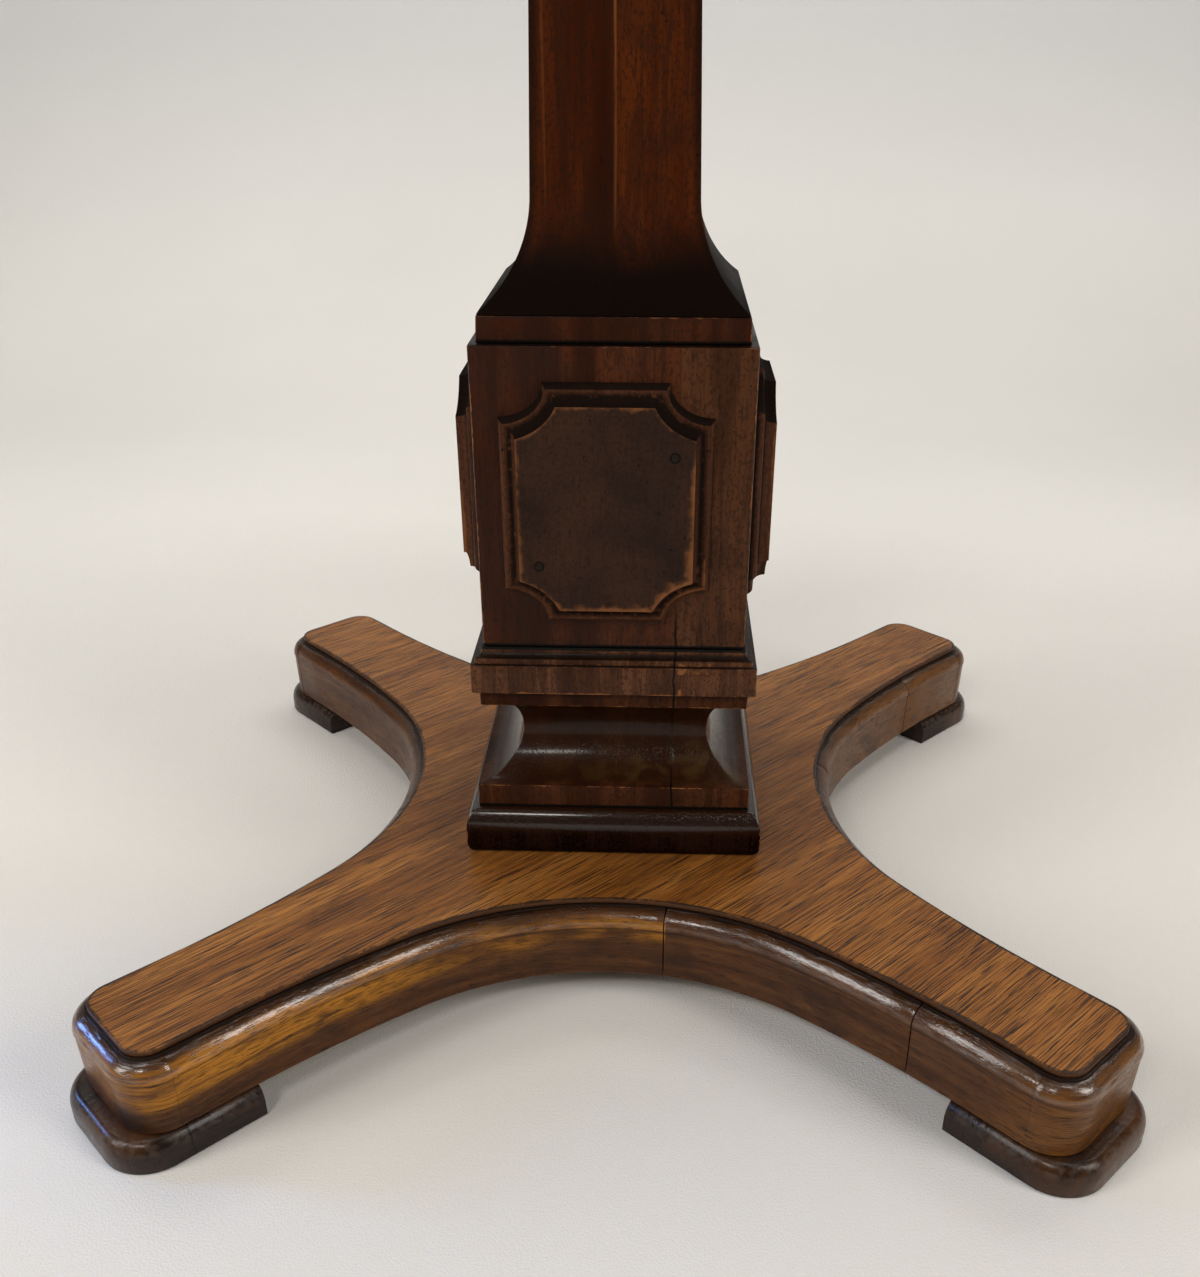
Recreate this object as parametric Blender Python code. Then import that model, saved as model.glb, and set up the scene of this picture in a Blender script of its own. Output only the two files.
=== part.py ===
"""Pedestal end table: a square moulded column on a four-armed platform, with a square top.

Metres, +Z up. The origin is on the floor under the middle of the column, and the front faces -Y.
"""

from math import cos, pi, radians, sin, sqrt

import bmesh
import bpy
from mathutils import Vector

# Driving dimensions, in metres unless they say otherwise
GAP = 0.0003  # glue line or clearance between pieces that touch
TABLE_HEIGHT = 0.730

# Platform: four arms on the diagonals, with hollow bays between them
ARM_REACH = 0.295  # middle to the veneer's edge at an arm's end
ARM_HALF = 0.027  # half the veneer's width on an arm
ARM_CORNER = 0.012  # corner radius of the veneer at an arm's end
WAIST_SHARE = 0.37525  # middle to the veneer's edge in the middle of a bay, as a share of the arm's reach
EASE_ANGLE = radians(36)  # turn of a bay's tight arc, to each side
EASE_SHARE = 2.034  # slow arc between the tight one and the straight arm, its radius as a share of the reach
PLATFORM_THICKNESS = 0.040
VENEER_THICKNESS = 0.0025
STRIP_JOINTS = (radians(10), radians(41.7))  # turn of the edge where the strips of a bay butt

# Moulded edge strip, for the platform and the top alike
STRIP_OUT = 0.0078  # how far the ovolo stands out from the veneer
STRIP_LEDGE = 0.001
QUIRK_DEPTH = 0.0008
OVOLO_HEIGHT = 0.008
STRIP_STEP = 0.0006  # how far the flat side is set back under the ovolo
STRIP_FOOT_OUT = 0.006  # how far the flat side stands out from the veneer at its foot
STRIP_CHAMFER = 0.0008
CORE_CORNER = 0.003  # corner radius of the core inside the strips

# Pad feet
FOOT_HEIGHT = 0.016
FOOT_LENGTH = 0.0645
FOOT_TOE = 0.0105  # how far a foot stands out past the strip at the arm's end
FOOT_SIDE = 0.0035  # and at the arm's sides
FOOT_CORNER = 0.022
FOOT_ROUND = 0.0035  # width of the rounded top edge
FOOT_ROUND_HEIGHT = 0.007
FOOT_CHAMFER = 0.0008
FOOT_SCREW_SETBACK = 0.020  # from the foot's inner end

# Column, from the platform up. A half is half the width of the square.
TORUS_HEIGHT = 0.0241
TORUS_HALF = 0.0738
TORUS_WIDEST = 0.0125  # height where the upper round starts
TORUS_TOP_HALF = 0.0685
TORUS_FOOT_HALF = 0.0704
TORUS_FOOT_ROUND = 0.0055  # height of the lower round
LOW_FILLET_HALF = 0.0674
LOW_FILLET_HEIGHT = 0.0121
SCOTIA_THROAT = 0.0460
SCOTIA_LEDGE = 0.0004
SCOTIA_LOW_RISE = 0.0228  # heights of the hollow, below and above the throat
SCOTIA_HIGH_RISE = 0.0203
THIN_FILLET_HALF = 0.0643
THIN_FILLET_HEIGHT = 0.008
FASCIA_HALF = 0.0678
FASCIA_HEIGHT = 0.0145
BAND_HALF = 0.0658
BAND_HEIGHT = 0.0028
COVE_HEIGHT = 0.0032
LIP_HALF = 0.0625
LIP_HEIGHT = 0.0013
DIE_HALF = 0.0617
DIE_HEIGHT = 0.1385
NECK_HALF = 0.0584
NECK_TOP_HALF = 0.0579
NECK_HEIGHT = 0.0110
SHAFT_HALF = 0.0357
SHAFT_TOP_HALF = 0.0285
FLARE_HEIGHT = 0.0450

# Raised panels planted on the die
PANEL_HALF_WIDTH = 0.0470
PANEL_HALF_HEIGHT = 0.0545
PANEL_SHIFT = -0.003  # the panels sit a little to the left of the die's middle
PANEL_NOTCH_WIDTH = 0.0195
PANEL_NOTCH_HEIGHT = 0.0150
PANEL_STEP = 0.0045  # height of the flat step round the field
PANEL_THICKNESS = 0.0103
PANEL_OVOLO = 0.0025
PANEL_FLAT = 0.002
PANEL_COVE = 0.0036
PIN_ACROSS = 0.030  # pins, from the panel's middle
PIN_UP = 0.025
PIN_RADIUS = 0.0016
PIN_PROUD = 0.0002
PIN_BITE = 0.008  # how far a pin goes into the die

# Centre dowel, tenon and screws
DOWEL_RADIUS = 0.014
DOWEL_SETBACK = 0.001
DOWEL_IN_SHAFT = 0.060
TENON_HALF = 0.015
SCREW_RADIUS = 0.0020
SCREW_HEAD_RADIUS = 0.0042
SCREW_HEAD_HEIGHT = 0.0028
SCREW_TIP = 0.004
SCREW_SINK = 0.0012
FOOT_SCREW_BITE = 0.018
COLUMN_SCREW_SIDE = 0.034
COLUMN_SCREW_BITE = 0.018
TOP_SCREW_SIDE = 0.110
TOP_SCREW_BITE = 0.010

# Table top
TOP_HALF = 0.280  # to the edge of the veneer
TOP_CORNER = 0.012
TOP_THICKNESS = 0.022
BEARER_HALF = 0.150
BEARER_THICKNESS = 0.022
BEARER_CHAMFER = 0.008
CAPITAL_STEP = 0.0015  # how far the capital's foot stands out from the shaft
CAPITAL_FOOT_HEIGHT = 0.006
CAPITAL_HALF = 0.050
CAPITAL_TOP_HEIGHT = 0.010

# Steps of the round stretches
BAY_STEPS = 6
EASE_STEPS = 2
CORNER_STEPS = 4
ARC_STEPS = 6
ROUND_SIDES = 12

# Heights and radii that follow from the sizes above
PLATFORM_TOP = FOOT_HEIGHT + PLATFORM_THICKNESS
STRIP_IN = ARM_CORNER - CORE_CORNER - GAP
TOP_STRIP_IN = TOP_CORNER - CORE_CORNER - GAP
FOOT_OUTER = ARM_REACH + STRIP_FOOT_OUT + FOOT_TOE
FOOT_INNER = FOOT_OUTER - FOOT_LENGTH
FOOT_HALF = ARM_HALF + STRIP_FOOT_OUT + FOOT_SIDE
SCOTIA_HEIGHT = LOW_FILLET_HEIGHT + SCOTIA_LOW_RISE + SCOTIA_HIGH_RISE + THIN_FILLET_HEIGHT
PLINTH_HEIGHT = FASCIA_HEIGHT + BAND_HEIGHT + COVE_HEIGHT + LIP_HEIGHT
TORUS_BASE = PLATFORM_TOP + GAP
SCOTIA_BASE = TORUS_BASE + TORUS_HEIGHT + GAP
PLINTH_BASE = SCOTIA_BASE + SCOTIA_HEIGHT + GAP
DIE_BASE = PLINTH_BASE + PLINTH_HEIGHT + GAP
NECK_BASE = DIE_BASE + DIE_HEIGHT + GAP
SHAFT_BASE = NECK_BASE + NECK_HEIGHT + GAP
TOP_BASE = TABLE_HEIGHT - TOP_THICKNESS
BEARER_BASE = TOP_BASE - GAP - BEARER_THICKNESS
CAPITAL_FOOT_HALF = SHAFT_TOP_HALF + CAPITAL_STEP
CAPITAL_RADIUS = CAPITAL_HALF - CAPITAL_FOOT_HALF
CAPITAL_HEIGHT = CAPITAL_FOOT_HEIGHT + CAPITAL_RADIUS + CAPITAL_TOP_HEIGHT
CAPITAL_BASE = BEARER_BASE - GAP - CAPITAL_HEIGHT
SHAFT_TOP = CAPITAL_BASE - GAP
WAIST = ARM_REACH * WAIST_SHARE
EASE_RADIUS = ARM_REACH * EASE_SHARE
EASE_TURN = cos(EASE_ANGLE) + sin(EASE_ANGLE)
BAY_RADIUS = (WAIST - sqrt(2) * ARM_HALF - EASE_RADIUS * (sqrt(2) - EASE_TURN)) / (EASE_TURN - 1)

# Finishes: colour (linear), roughness, metallic
FINISHES = {
    "column_mahogany": ((0.070, 0.021, 0.011), 0.42, 0.0),
    "panel_mahogany": ((0.046, 0.018, 0.011), 0.38, 0.0),
    "veneer_mahogany": ((0.200, 0.078, 0.022), 0.40, 0.0),
    "edge_mahogany": ((0.110, 0.042, 0.014), 0.28, 0.0),
    "foot_mahogany": ((0.040, 0.018, 0.010), 0.42, 0.0),
    "core_pine": ((0.480, 0.330, 0.170), 0.70, 0.0),
    "dowel_beech": ((0.520, 0.350, 0.200), 0.60, 0.0),
    "pin_dark": ((0.020, 0.014, 0.010), 0.50, 0.0),
    "screw_steel": ((0.300, 0.290, 0.280), 0.45, 1.0),
}


def clear_scene():
    """Removes the objects and meshes that the file starts with."""
    for old in list(bpy.data.objects):
        bpy.data.objects.remove(old, do_unlink=True)
    for mesh in list(bpy.data.meshes):
        bpy.data.meshes.remove(mesh)


def finish(name):
    """The material of one finish, made the first time that it is asked for."""
    found = bpy.data.materials.get(name)
    if found:
        return found
    colour, roughness, metallic = FINISHES[name]
    made = bpy.data.materials.new(name)
    made.use_nodes = True
    shader = made.node_tree.nodes["Principled BSDF"]
    shader.inputs["Base Color"].default_value = (*colour, 1)
    shader.inputs["Roughness"].default_value = roughness
    shader.inputs["Metallic"].default_value = metallic
    made.diffuse_color = (*colour, 1)
    return made


def place(name, bm, finish_name, quarter=0):
    """Turns a bmesh into a named object, turned by quarter turns about the column."""
    bmesh.ops.recalc_face_normals(bm, faces=bm.faces)
    mesh = bpy.data.meshes.new(name)
    bm.to_mesh(mesh)
    bm.free()
    mesh.shade_smooth()
    mesh.set_sharp_from_angle(angle=radians(35))
    mesh.materials.append(finish(finish_name))
    made = bpy.data.objects.new(name, mesh)
    made.rotation_euler = (0, 0, quarter * pi / 2)
    bpy.context.collection.objects.link(made)
    return made


def loft(rings):
    """A closed bmesh over rings of as many points each, with flat ends."""
    bm = bmesh.new()
    loops = [[bm.verts.new(point) for point in ring] for ring in rings]
    count = len(loops[0])
    for low, high in zip(loops, loops[1:]):
        for i in range(count):
            j = (i + 1) % count
            bm.faces.new((low[i], low[j], high[j], high[i]))
    bm.faces.new(loops[0])
    bm.faces.new(loops[-1])
    return bm


def arc(centre, radii, start, end, steps):
    """Points on an ellipse's arc, from one angle to another."""
    turns = [start + (end - start) * i / steps for i in range(steps + 1)]
    return [(centre[0] + radii[0] * cos(a), centre[1] + radii[1] * sin(a)) for a in turns]


def square_ring(half, height):
    """A square's corners at one height."""
    return [(half, half, height), (-half, half, height), (-half, -half, height), (half, -half, height)]


def square_loft(profile, base):
    """A square block whose half width changes with height, from (half, height) points."""
    return loft([square_ring(half, base + height) for half, height in profile])


def round_loft(profile, x, y):
    """A round upright solid from (radius, height) points."""
    turns = [2 * pi * i / ROUND_SIDES for i in range(ROUND_SIDES)]
    return loft([[(x + r * cos(a), y + r * sin(a), z) for a in turns] for r, z in profile])


def prism(outline, low, high):
    """A flat plate with a given plan outline."""
    return loft([[(x, y, z) for x, y in outline] for z in (low, high)])


def cut(piece, cutter):
    """Cuts one shape out of a piece and keeps the cutter as a hidden guide."""
    cutter.hide_render = True
    cutter.display_type = "WIRE"
    change = piece.modifiers.new("cut_" + cutter.name, "BOOLEAN")
    change.operation = "DIFFERENCE"
    change.solver = "EXACT"
    change.object = cutter


# Plan of the platform's edge. A station is a point on the veneer's edge and the direction out of it.


def bay_station(turn):
    """The station of the front bay where its edge has turned by this angle from the middle."""
    side = 1 if turn >= 0 else -1
    angle = abs(turn)
    if angle <= EASE_ANGLE:
        across = BAY_RADIUS * sin(angle)
        out = WAIST + BAY_RADIUS * (1 - cos(angle))
    else:
        change = BAY_RADIUS - EASE_RADIUS
        across = change * sin(EASE_ANGLE) + EASE_RADIUS * sin(angle)
        out = WAIST + BAY_RADIUS - change * cos(EASE_ANGLE) - EASE_RADIUS * cos(angle)
    return Vector((side * across, -out)), Vector((-side * sin(angle), -cos(angle)))


def arm_station(side):
    """The station where the straight side of an arm meets its rounded corner."""
    along = (ARM_REACH - ARM_CORNER) / sqrt(2)
    across = ARM_HALF / sqrt(2)
    normal = Vector((-side, -1)).normalized()
    return Vector((side * (along - across), -(along + across))), normal


def corner_stations():
    """The stations round the end of the front right arm, from the front bay to the right one."""
    along = Vector((1, -1)).normalized()
    across = Vector((1, 1)).normalized()
    stations = []
    for side in (-1, 1):
        centre = along * (ARM_REACH - ARM_CORNER) + across * side * (ARM_HALF - ARM_CORNER)
        for i in range(CORNER_STEPS + 1):
            step = i if side < 0 else CORNER_STEPS - i
            angle = pi / 2 * step / CORNER_STEPS
            normal = across * side * cos(angle) + along * sin(angle)
            stations.append((centre + normal * ARM_CORNER, normal))
    return stations


def bay_turns():
    """The turns at which a bay's edge has a station, joints included."""
    tight = [EASE_ANGLE * i / BAY_STEPS for i in range(BAY_STEPS + 1)]
    slow = [EASE_ANGLE + (pi / 4 - EASE_ANGLE) * (i + 1) / EASE_STEPS for i in range(EASE_STEPS)]
    half = tight + slow
    return sorted({-turn for turn in half} | set(half) | set(STRIP_JOINTS))


def slide(station, distance):
    """A station moved along the edge, to the right as seen from outside the front bay."""
    point, normal = station
    return point + Vector((-normal.y, normal.x)) * distance, normal


def platform_outline(offset):
    """The plan outline of the whole platform, moved out by an offset."""
    turns = [turn for turn in bay_turns() if abs(turn) < pi / 4 + 1e-9]
    quarter = [bay_station(turn) for turn in turns] + corner_stations()
    points = [point + normal * offset for point, normal in quarter]
    outline = []
    for k in range(4):
        c, s = (1, 0, -1, 0)[k], (0, 1, 0, -1)[k]
        outline += [(c * p.x - s * p.y, s * p.x + c * p.y) for p in points]
    return outline


def strip_profile(top, thickness, inside):
    """The edge strip's section, as distance out from the veneer's edge and height."""
    ledge = top - VENEER_THICKNESS - GAP
    shoulder = ledge - QUIRK_DEPTH
    bottom = top - thickness
    round_part = arc(
        (STRIP_LEDGE, shoulder - OVOLO_HEIGHT), (STRIP_OUT - STRIP_LEDGE, OVOLO_HEIGHT), pi / 2, 0, ARC_STEPS
    )
    side = [
        (STRIP_OUT - STRIP_STEP, shoulder - OVOLO_HEIGHT - STRIP_STEP), (STRIP_FOOT_OUT, bottom + STRIP_CHAMFER)
    ]
    foot = [(STRIP_FOOT_OUT - STRIP_CHAMFER, bottom), (-inside, bottom)]
    return [(-inside, ledge), (STRIP_LEDGE, ledge)] + round_part + side + foot


def sweep(stations, profile):
    """A strip with this section along these stations."""
    return loft([[(*(point + normal * out), z) for out, z in profile] for point, normal in stations])


# Platform


def build_platform_edge():
    """Three butted strips round each bay, and a cap round each arm's end."""
    profile = strip_profile(PLATFORM_TOP, PLATFORM_THICKNESS, STRIP_IN)
    first, second = STRIP_JOINTS
    left, right = arm_station(-1), arm_station(1)
    spans = (
        ("long", -pi / 4, first, left, None),
        ("middle", first, second, None, None),
        ("short", second, pi / 4, None, right),
    )
    for k, bay in enumerate(("front", "right", "back", "left")):
        for kind, start, end, before, after in spans:
            run = [bay_station(turn) for turn in bay_turns() if start - 1e-9 < turn < end + 1e-9]
            run = ([before] if before else []) + run + ([after] if after else [])
            run[0] = slide(run[0], GAP / 2)
            run[-1] = slide(run[-1], -GAP / 2)
            place(f"edge_strip_{bay}_{kind}", sweep(run, profile), "edge_mahogany", k)
    for k, arm in enumerate(("front_right", "back_right", "back_left", "front_left")):
        run = corner_stations()
        run[0] = slide(run[0], GAP / 2)
        run[-1] = slide(run[-1], -GAP / 2)
        place(f"edge_cap_{arm}", sweep(run, profile), "edge_mahogany", k)


def build_platform():
    """The pine core and the veneer on it."""
    ledge = PLATFORM_TOP - VENEER_THICKNESS
    core = place(
        "platform_core", prism(platform_outline(-STRIP_IN - GAP), FOOT_HEIGHT, ledge - GAP), "core_pine"
    )
    veneer = place("platform_veneer", prism(platform_outline(0), ledge, PLATFORM_TOP), "veneer_mahogany")
    return core, veneer


def foot_ring(inset, height):
    """The outline of the front right foot. Its inner end stays where it is when the sides are inset."""
    half, radius = FOOT_HALF - inset, FOOT_CORNER - inset
    centre = (FOOT_OUTER - FOOT_CORNER, FOOT_HALF - FOOT_CORNER)
    outer = arc(centre, (radius, radius), pi / 2, 0, CORNER_STEPS)
    edge = [(FOOT_INNER, half)] + outer
    plan = edge + [(along, -across) for along, across in reversed(edge)]
    return [((u + v) / sqrt(2), (v - u) / sqrt(2), height) for u, v in plan]


def build_feet():
    """Four pads under the arm ends."""
    top = FOOT_HEIGHT - GAP
    shoulder = top - FOOT_ROUND_HEIGHT
    rounded = arc((FOOT_ROUND, shoulder), (FOOT_ROUND, FOOT_ROUND_HEIGHT), pi, pi / 2, ARC_STEPS)
    rings = [foot_ring(FOOT_CHAMFER, 0), foot_ring(0, FOOT_CHAMFER)]
    rings += [foot_ring(inset, height) for inset, height in rounded]
    names = ("front_right", "back_right", "back_left", "front_left")
    return [place(f"foot_{arm}", loft(rings), "foot_mahogany", k) for k, arm in enumerate(names)]


# Column


def torus_profile():
    """The base block of the column: a small round at its foot, a short upright and a larger round at its top."""
    low_radii = (TORUS_HALF - TORUS_FOOT_HALF, TORUS_FOOT_ROUND)
    high_radii = (TORUS_HALF - TORUS_TOP_HALF, TORUS_HEIGHT - TORUS_WIDEST)
    low = arc((TORUS_FOOT_HALF, TORUS_FOOT_ROUND), low_radii, -pi / 2, 0, ARC_STEPS // 2)
    high = arc((TORUS_TOP_HALF, TORUS_WIDEST), high_radii, 0, pi / 2, ARC_STEPS)
    return low + high


def scotia_profile():
    """A flat fillet, a deep hollow of two arcs and a thin fillet."""
    throat = LOW_FILLET_HEIGHT + SCOTIA_LOW_RISE
    low_width = LOW_FILLET_HALF - SCOTIA_LEDGE - SCOTIA_THROAT
    high_width = THIN_FILLET_HALF - SCOTIA_LEDGE - SCOTIA_THROAT
    low = arc((SCOTIA_THROAT + low_width, throat), (low_width, SCOTIA_LOW_RISE), -pi / 2, -pi, ARC_STEPS)
    high = arc((SCOTIA_THROAT + high_width, throat), (high_width, SCOTIA_HIGH_RISE), pi, pi / 2, ARC_STEPS)
    start = [(LOW_FILLET_HALF, 0), (LOW_FILLET_HALF, LOW_FILLET_HEIGHT)]
    end = [(THIN_FILLET_HALF, throat + SCOTIA_HIGH_RISE), (THIN_FILLET_HALF, SCOTIA_HEIGHT)]
    return start + low + high[1:] + end


def plinth_profile():
    """A plain fascia with a band, a small cove and a lip over it."""
    band_top = FASCIA_HEIGHT + BAND_HEIGHT
    cove_radii = (BAND_HALF - LIP_HALF, COVE_HEIGHT)
    cove = arc((BAND_HALF, band_top + COVE_HEIGHT), cove_radii, -pi / 2, -pi, ARC_STEPS // 2)
    start = [(FASCIA_HALF, 0), (FASCIA_HALF, FASCIA_HEIGHT), (BAND_HALF, FASCIA_HEIGHT)]
    return start + cove + [(LIP_HALF, PLINTH_HEIGHT)]


def build_column_blocks():
    """The stacked square blocks, from the torus to the neck."""
    blocks = (
        ("torus_base", torus_profile(), TORUS_BASE),
        ("scotia_block", scotia_profile(), SCOTIA_BASE),
        ("plinth_block", plinth_profile(), PLINTH_BASE),
        ("die_block", [(DIE_HALF, 0), (DIE_HALF, DIE_HEIGHT)], DIE_BASE),
        ("neck_block", [(NECK_HALF, 0), (NECK_TOP_HALF, NECK_HEIGHT)], NECK_BASE),
    )
    made = {}
    for name, profile, base in blocks:
        made[name] = place(name, square_loft(profile, base), "column_mahogany")
    return made


def shaft_profile():
    """The flare, which is an arc that runs into the shaft, the taper and the tenon on top."""
    flare_width = NECK_TOP_HALF - SHAFT_HALF
    radius = (flare_width**2 + FLARE_HEIGHT**2) / (2 * flare_width)
    flare = []
    for i in range(ARC_STEPS + 1):
        height = FLARE_HEIGHT * i / ARC_STEPS
        rise = FLARE_HEIGHT - height
        flare.append((SHAFT_HALF + radius - sqrt(radius**2 - rise**2), height))
    top = SHAFT_TOP - SHAFT_BASE
    tenon_top = TOP_BASE - GAP - SHAFT_BASE
    return flare + [(SHAFT_TOP_HALF, top), (TENON_HALF, top), (TENON_HALF, tenon_top)]


def build_shaft():
    """Two halves glued down the middle."""
    halves = []
    for side, name in ((-1, "shaft_left_half"), (1, "shaft_right_half")):
        bm = square_loft(shaft_profile(), SHAFT_BASE)
        everything = bm.verts[:] + bm.edges[:] + bm.faces[:]
        bmesh.ops.bisect_plane(
            bm,
            geom=everything,
            dist=1e-7,
            plane_co=(side * GAP / 2, 0, 0),
            plane_no=(-side, 0, 0),
            clear_outer=True,
        )
        open_edges = [edge for edge in bm.edges if edge.is_boundary]
        bmesh.ops.edgeloop_fill(bm, edges=open_edges)
        halves.append(place(name, bm, "column_mahogany"))
    return halves


def panel_ring(inset, height):
    """The panel's outline at one inset, facing the front. Its corners are hollow arcs."""
    half_width, half_height = PANEL_HALF_WIDTH - inset, PANEL_HALF_HEIGHT - inset
    radii = (PANEL_NOTCH_WIDTH + inset, PANEL_NOTCH_HEIGHT + inset)
    dip_across = radii[0] * sqrt(1 - (inset / radii[1]) ** 2)
    dip_down = radii[1] * sqrt(1 - (inset / radii[0]) ** 2)
    corner = [(PANEL_HALF_WIDTH - dip_across, half_height)]
    for i in range(1, ARC_STEPS):
        across = dip_across + (inset - dip_across) * (1 - cos(pi / 2 * i / ARC_STEPS))
        down = radii[1] * sqrt(1 - (across / radii[0]) ** 2)
        corner.append((PANEL_HALF_WIDTH - across, PANEL_HALF_HEIGHT - down))
    corner.append((half_width, PANEL_HALF_HEIGHT - dip_down))
    upper = corner + [(x, -z) for x, z in reversed(corner)]
    plan = upper + [(-x, -z) for x, z in upper]
    middle = DIE_BASE + DIE_HEIGHT / 2
    return [(x + PANEL_SHIFT, -DIE_HALF - GAP - height, z + middle) for x, z in plan]


def build_panels():
    """Four raised panels: an ovolo, a flat step and a cove up to the field."""
    edge = arc((PANEL_OVOLO, 0), (PANEL_OVOLO, PANEL_STEP), pi, pi / 2, ARC_STEPS // 2)
    flat_end = PANEL_OVOLO + PANEL_FLAT
    rise = PANEL_THICKNESS - PANEL_STEP
    cove = arc((flat_end, PANEL_THICKNESS), (PANEL_COVE, rise), -pi / 2, 0, ARC_STEPS // 2)
    rings = [panel_ring(inset, height) for inset, height in edge + cove]
    names = ("front", "right", "back", "left")
    return [place(f"panel_{face}", loft(rings), "panel_mahogany", k) for k, face in enumerate(names)]


def pin_solid(side, clearance, beyond):
    """A pin of the front panel, or the hole for it when it has a clearance."""
    outer = DIE_HALF + GAP + PANEL_THICKNESS + PIN_PROUD + beyond
    inner = DIE_HALF - PIN_BITE - clearance
    x = PANEL_SHIFT + side * PIN_ACROSS
    z = DIE_BASE + DIE_HEIGHT / 2 + side * PIN_UP
    radius = PIN_RADIUS + clearance
    turns = [2 * pi * i / ROUND_SIDES for i in range(ROUND_SIDES)]
    return loft([[(x + radius * cos(a), y, z + radius * sin(a)) for a in turns] for y in (-outer, -inner)])


def build_pins(die, panels):
    """Two pins through each panel into the die."""
    for k, face in enumerate(("front", "right", "back", "left")):
        for side, where in ((1, "upper"), (-1, "lower")):
            place(f"pin_{face}_{where}", pin_solid(side, 0, 0), "pin_dark", k)
            hole = place(f"hole_{face}_{where}", pin_solid(side, GAP, PIN_RADIUS), "pin_dark", k)
            cut(panels[k], hole)
            cut(die, hole)


# Dowel, screws and table top


def build_dowel(pieces, shaft):
    """The dowel from the platform's core into the shaft, and the bore for it."""
    low = FOOT_HEIGHT + DOWEL_SETBACK
    high = SHAFT_BASE + DOWEL_IN_SHAFT
    place("centre_dowel", round_loft([(DOWEL_RADIUS, low), (DOWEL_RADIUS, high)], 0, 0), "dowel_beech")
    bore_radius = DOWEL_RADIUS + GAP
    bore = place("dowel_bore", round_loft([(bore_radius, 0), (bore_radius, high + GAP)], 0, 0), "dowel_beech")
    for piece in pieces + shaft:
        cut(piece, bore)


def screw(name, x, y, low, high, pieces):
    """A countersunk wood screw that points up, and the hole for it in each piece."""
    shank = low + SCREW_HEAD_HEIGHT
    profile = [(SCREW_HEAD_RADIUS, low), (SCREW_RADIUS, shank), (SCREW_RADIUS, high - SCREW_TIP)]
    place(name, round_loft(profile + [(SCREW_RADIUS / 4, high)], x, y), "screw_steel")
    wide, narrow = SCREW_HEAD_RADIUS + GAP, SCREW_RADIUS + GAP
    mouth = low - SCREW_SINK - SCREW_HEAD_RADIUS
    room = [(wide, mouth), (wide, low), (narrow, shank + GAP), (narrow, high + GAP)]
    hole = place("hole_" + name, round_loft(room, x, y), "screw_steel")
    for piece in pieces:
        cut(piece, hole)


def build_base_screws(core, feet, column_pieces):
    """A screw in each foot, and two from under the platform into the column."""
    reach = (FOOT_INNER + FOOT_SCREW_SETBACK) / sqrt(2)
    arms = (("front_right", 1, -1), ("back_right", 1, 1), ("back_left", -1, 1), ("front_left", -1, -1))
    for foot, (arm, x, y) in zip(feet, arms):
        top = FOOT_HEIGHT + FOOT_SCREW_BITE
        screw(f"foot_screw_{arm}", x * reach, y * reach, SCREW_SINK, top, [foot, core])
    top = SCOTIA_BASE + COLUMN_SCREW_BITE
    for side, where in ((-1, "left"), (1, "right")):
        low = FOOT_HEIGHT + SCREW_SINK
        screw(f"column_screw_{where}", side * COLUMN_SCREW_SIDE, 0, low, top, [core] + column_pieces)


def rounded_square(half, radius):
    """A square's outline with rounded corners."""
    outline = []
    for k, (x, y) in enumerate(((1, 1), (-1, 1), (-1, -1), (1, -1))):
        centre = (x * (half - radius), y * (half - radius))
        outline += arc(centre, (radius, radius), k * pi / 2, (k + 1) * pi / 2, CORNER_STEPS)
    return outline


def build_top():
    """The top's core and veneer, with a strip along each side that is mitred at the corners."""
    ledge = TABLE_HEIGHT - VENEER_THICKNESS
    inside = TOP_HALF - TOP_STRIP_IN - GAP
    core = place("top_core", prism(rounded_square(inside, CORE_CORNER), TOP_BASE, ledge - GAP), "core_pine")
    veneer = prism(rounded_square(TOP_HALF, TOP_CORNER), ledge, TABLE_HEIGHT)
    place("top_veneer", veneer, "veneer_mahogany")
    profile = strip_profile(TABLE_HEIGHT, TOP_THICKNESS, TOP_STRIP_IN)
    middle = TOP_HALF - TOP_CORNER
    run = []
    for side in (-1, 1):
        for i in range(CORNER_STEPS + 1):
            step = CORNER_STEPS - i if side < 0 else i
            angle = pi / 4 * step / CORNER_STEPS
            normal = Vector((side * sin(angle), -cos(angle)))
            run.append((Vector((side * middle, -middle)) + normal * TOP_CORNER, normal))
    run[0] = slide(run[0], GAP / 2)
    run[-1] = slide(run[-1], -GAP / 2)
    for k, side in enumerate(("front", "right", "back", "left")):
        place(f"top_strip_{side}", sweep(run, profile), "edge_mahogany", k)
    return core


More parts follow.
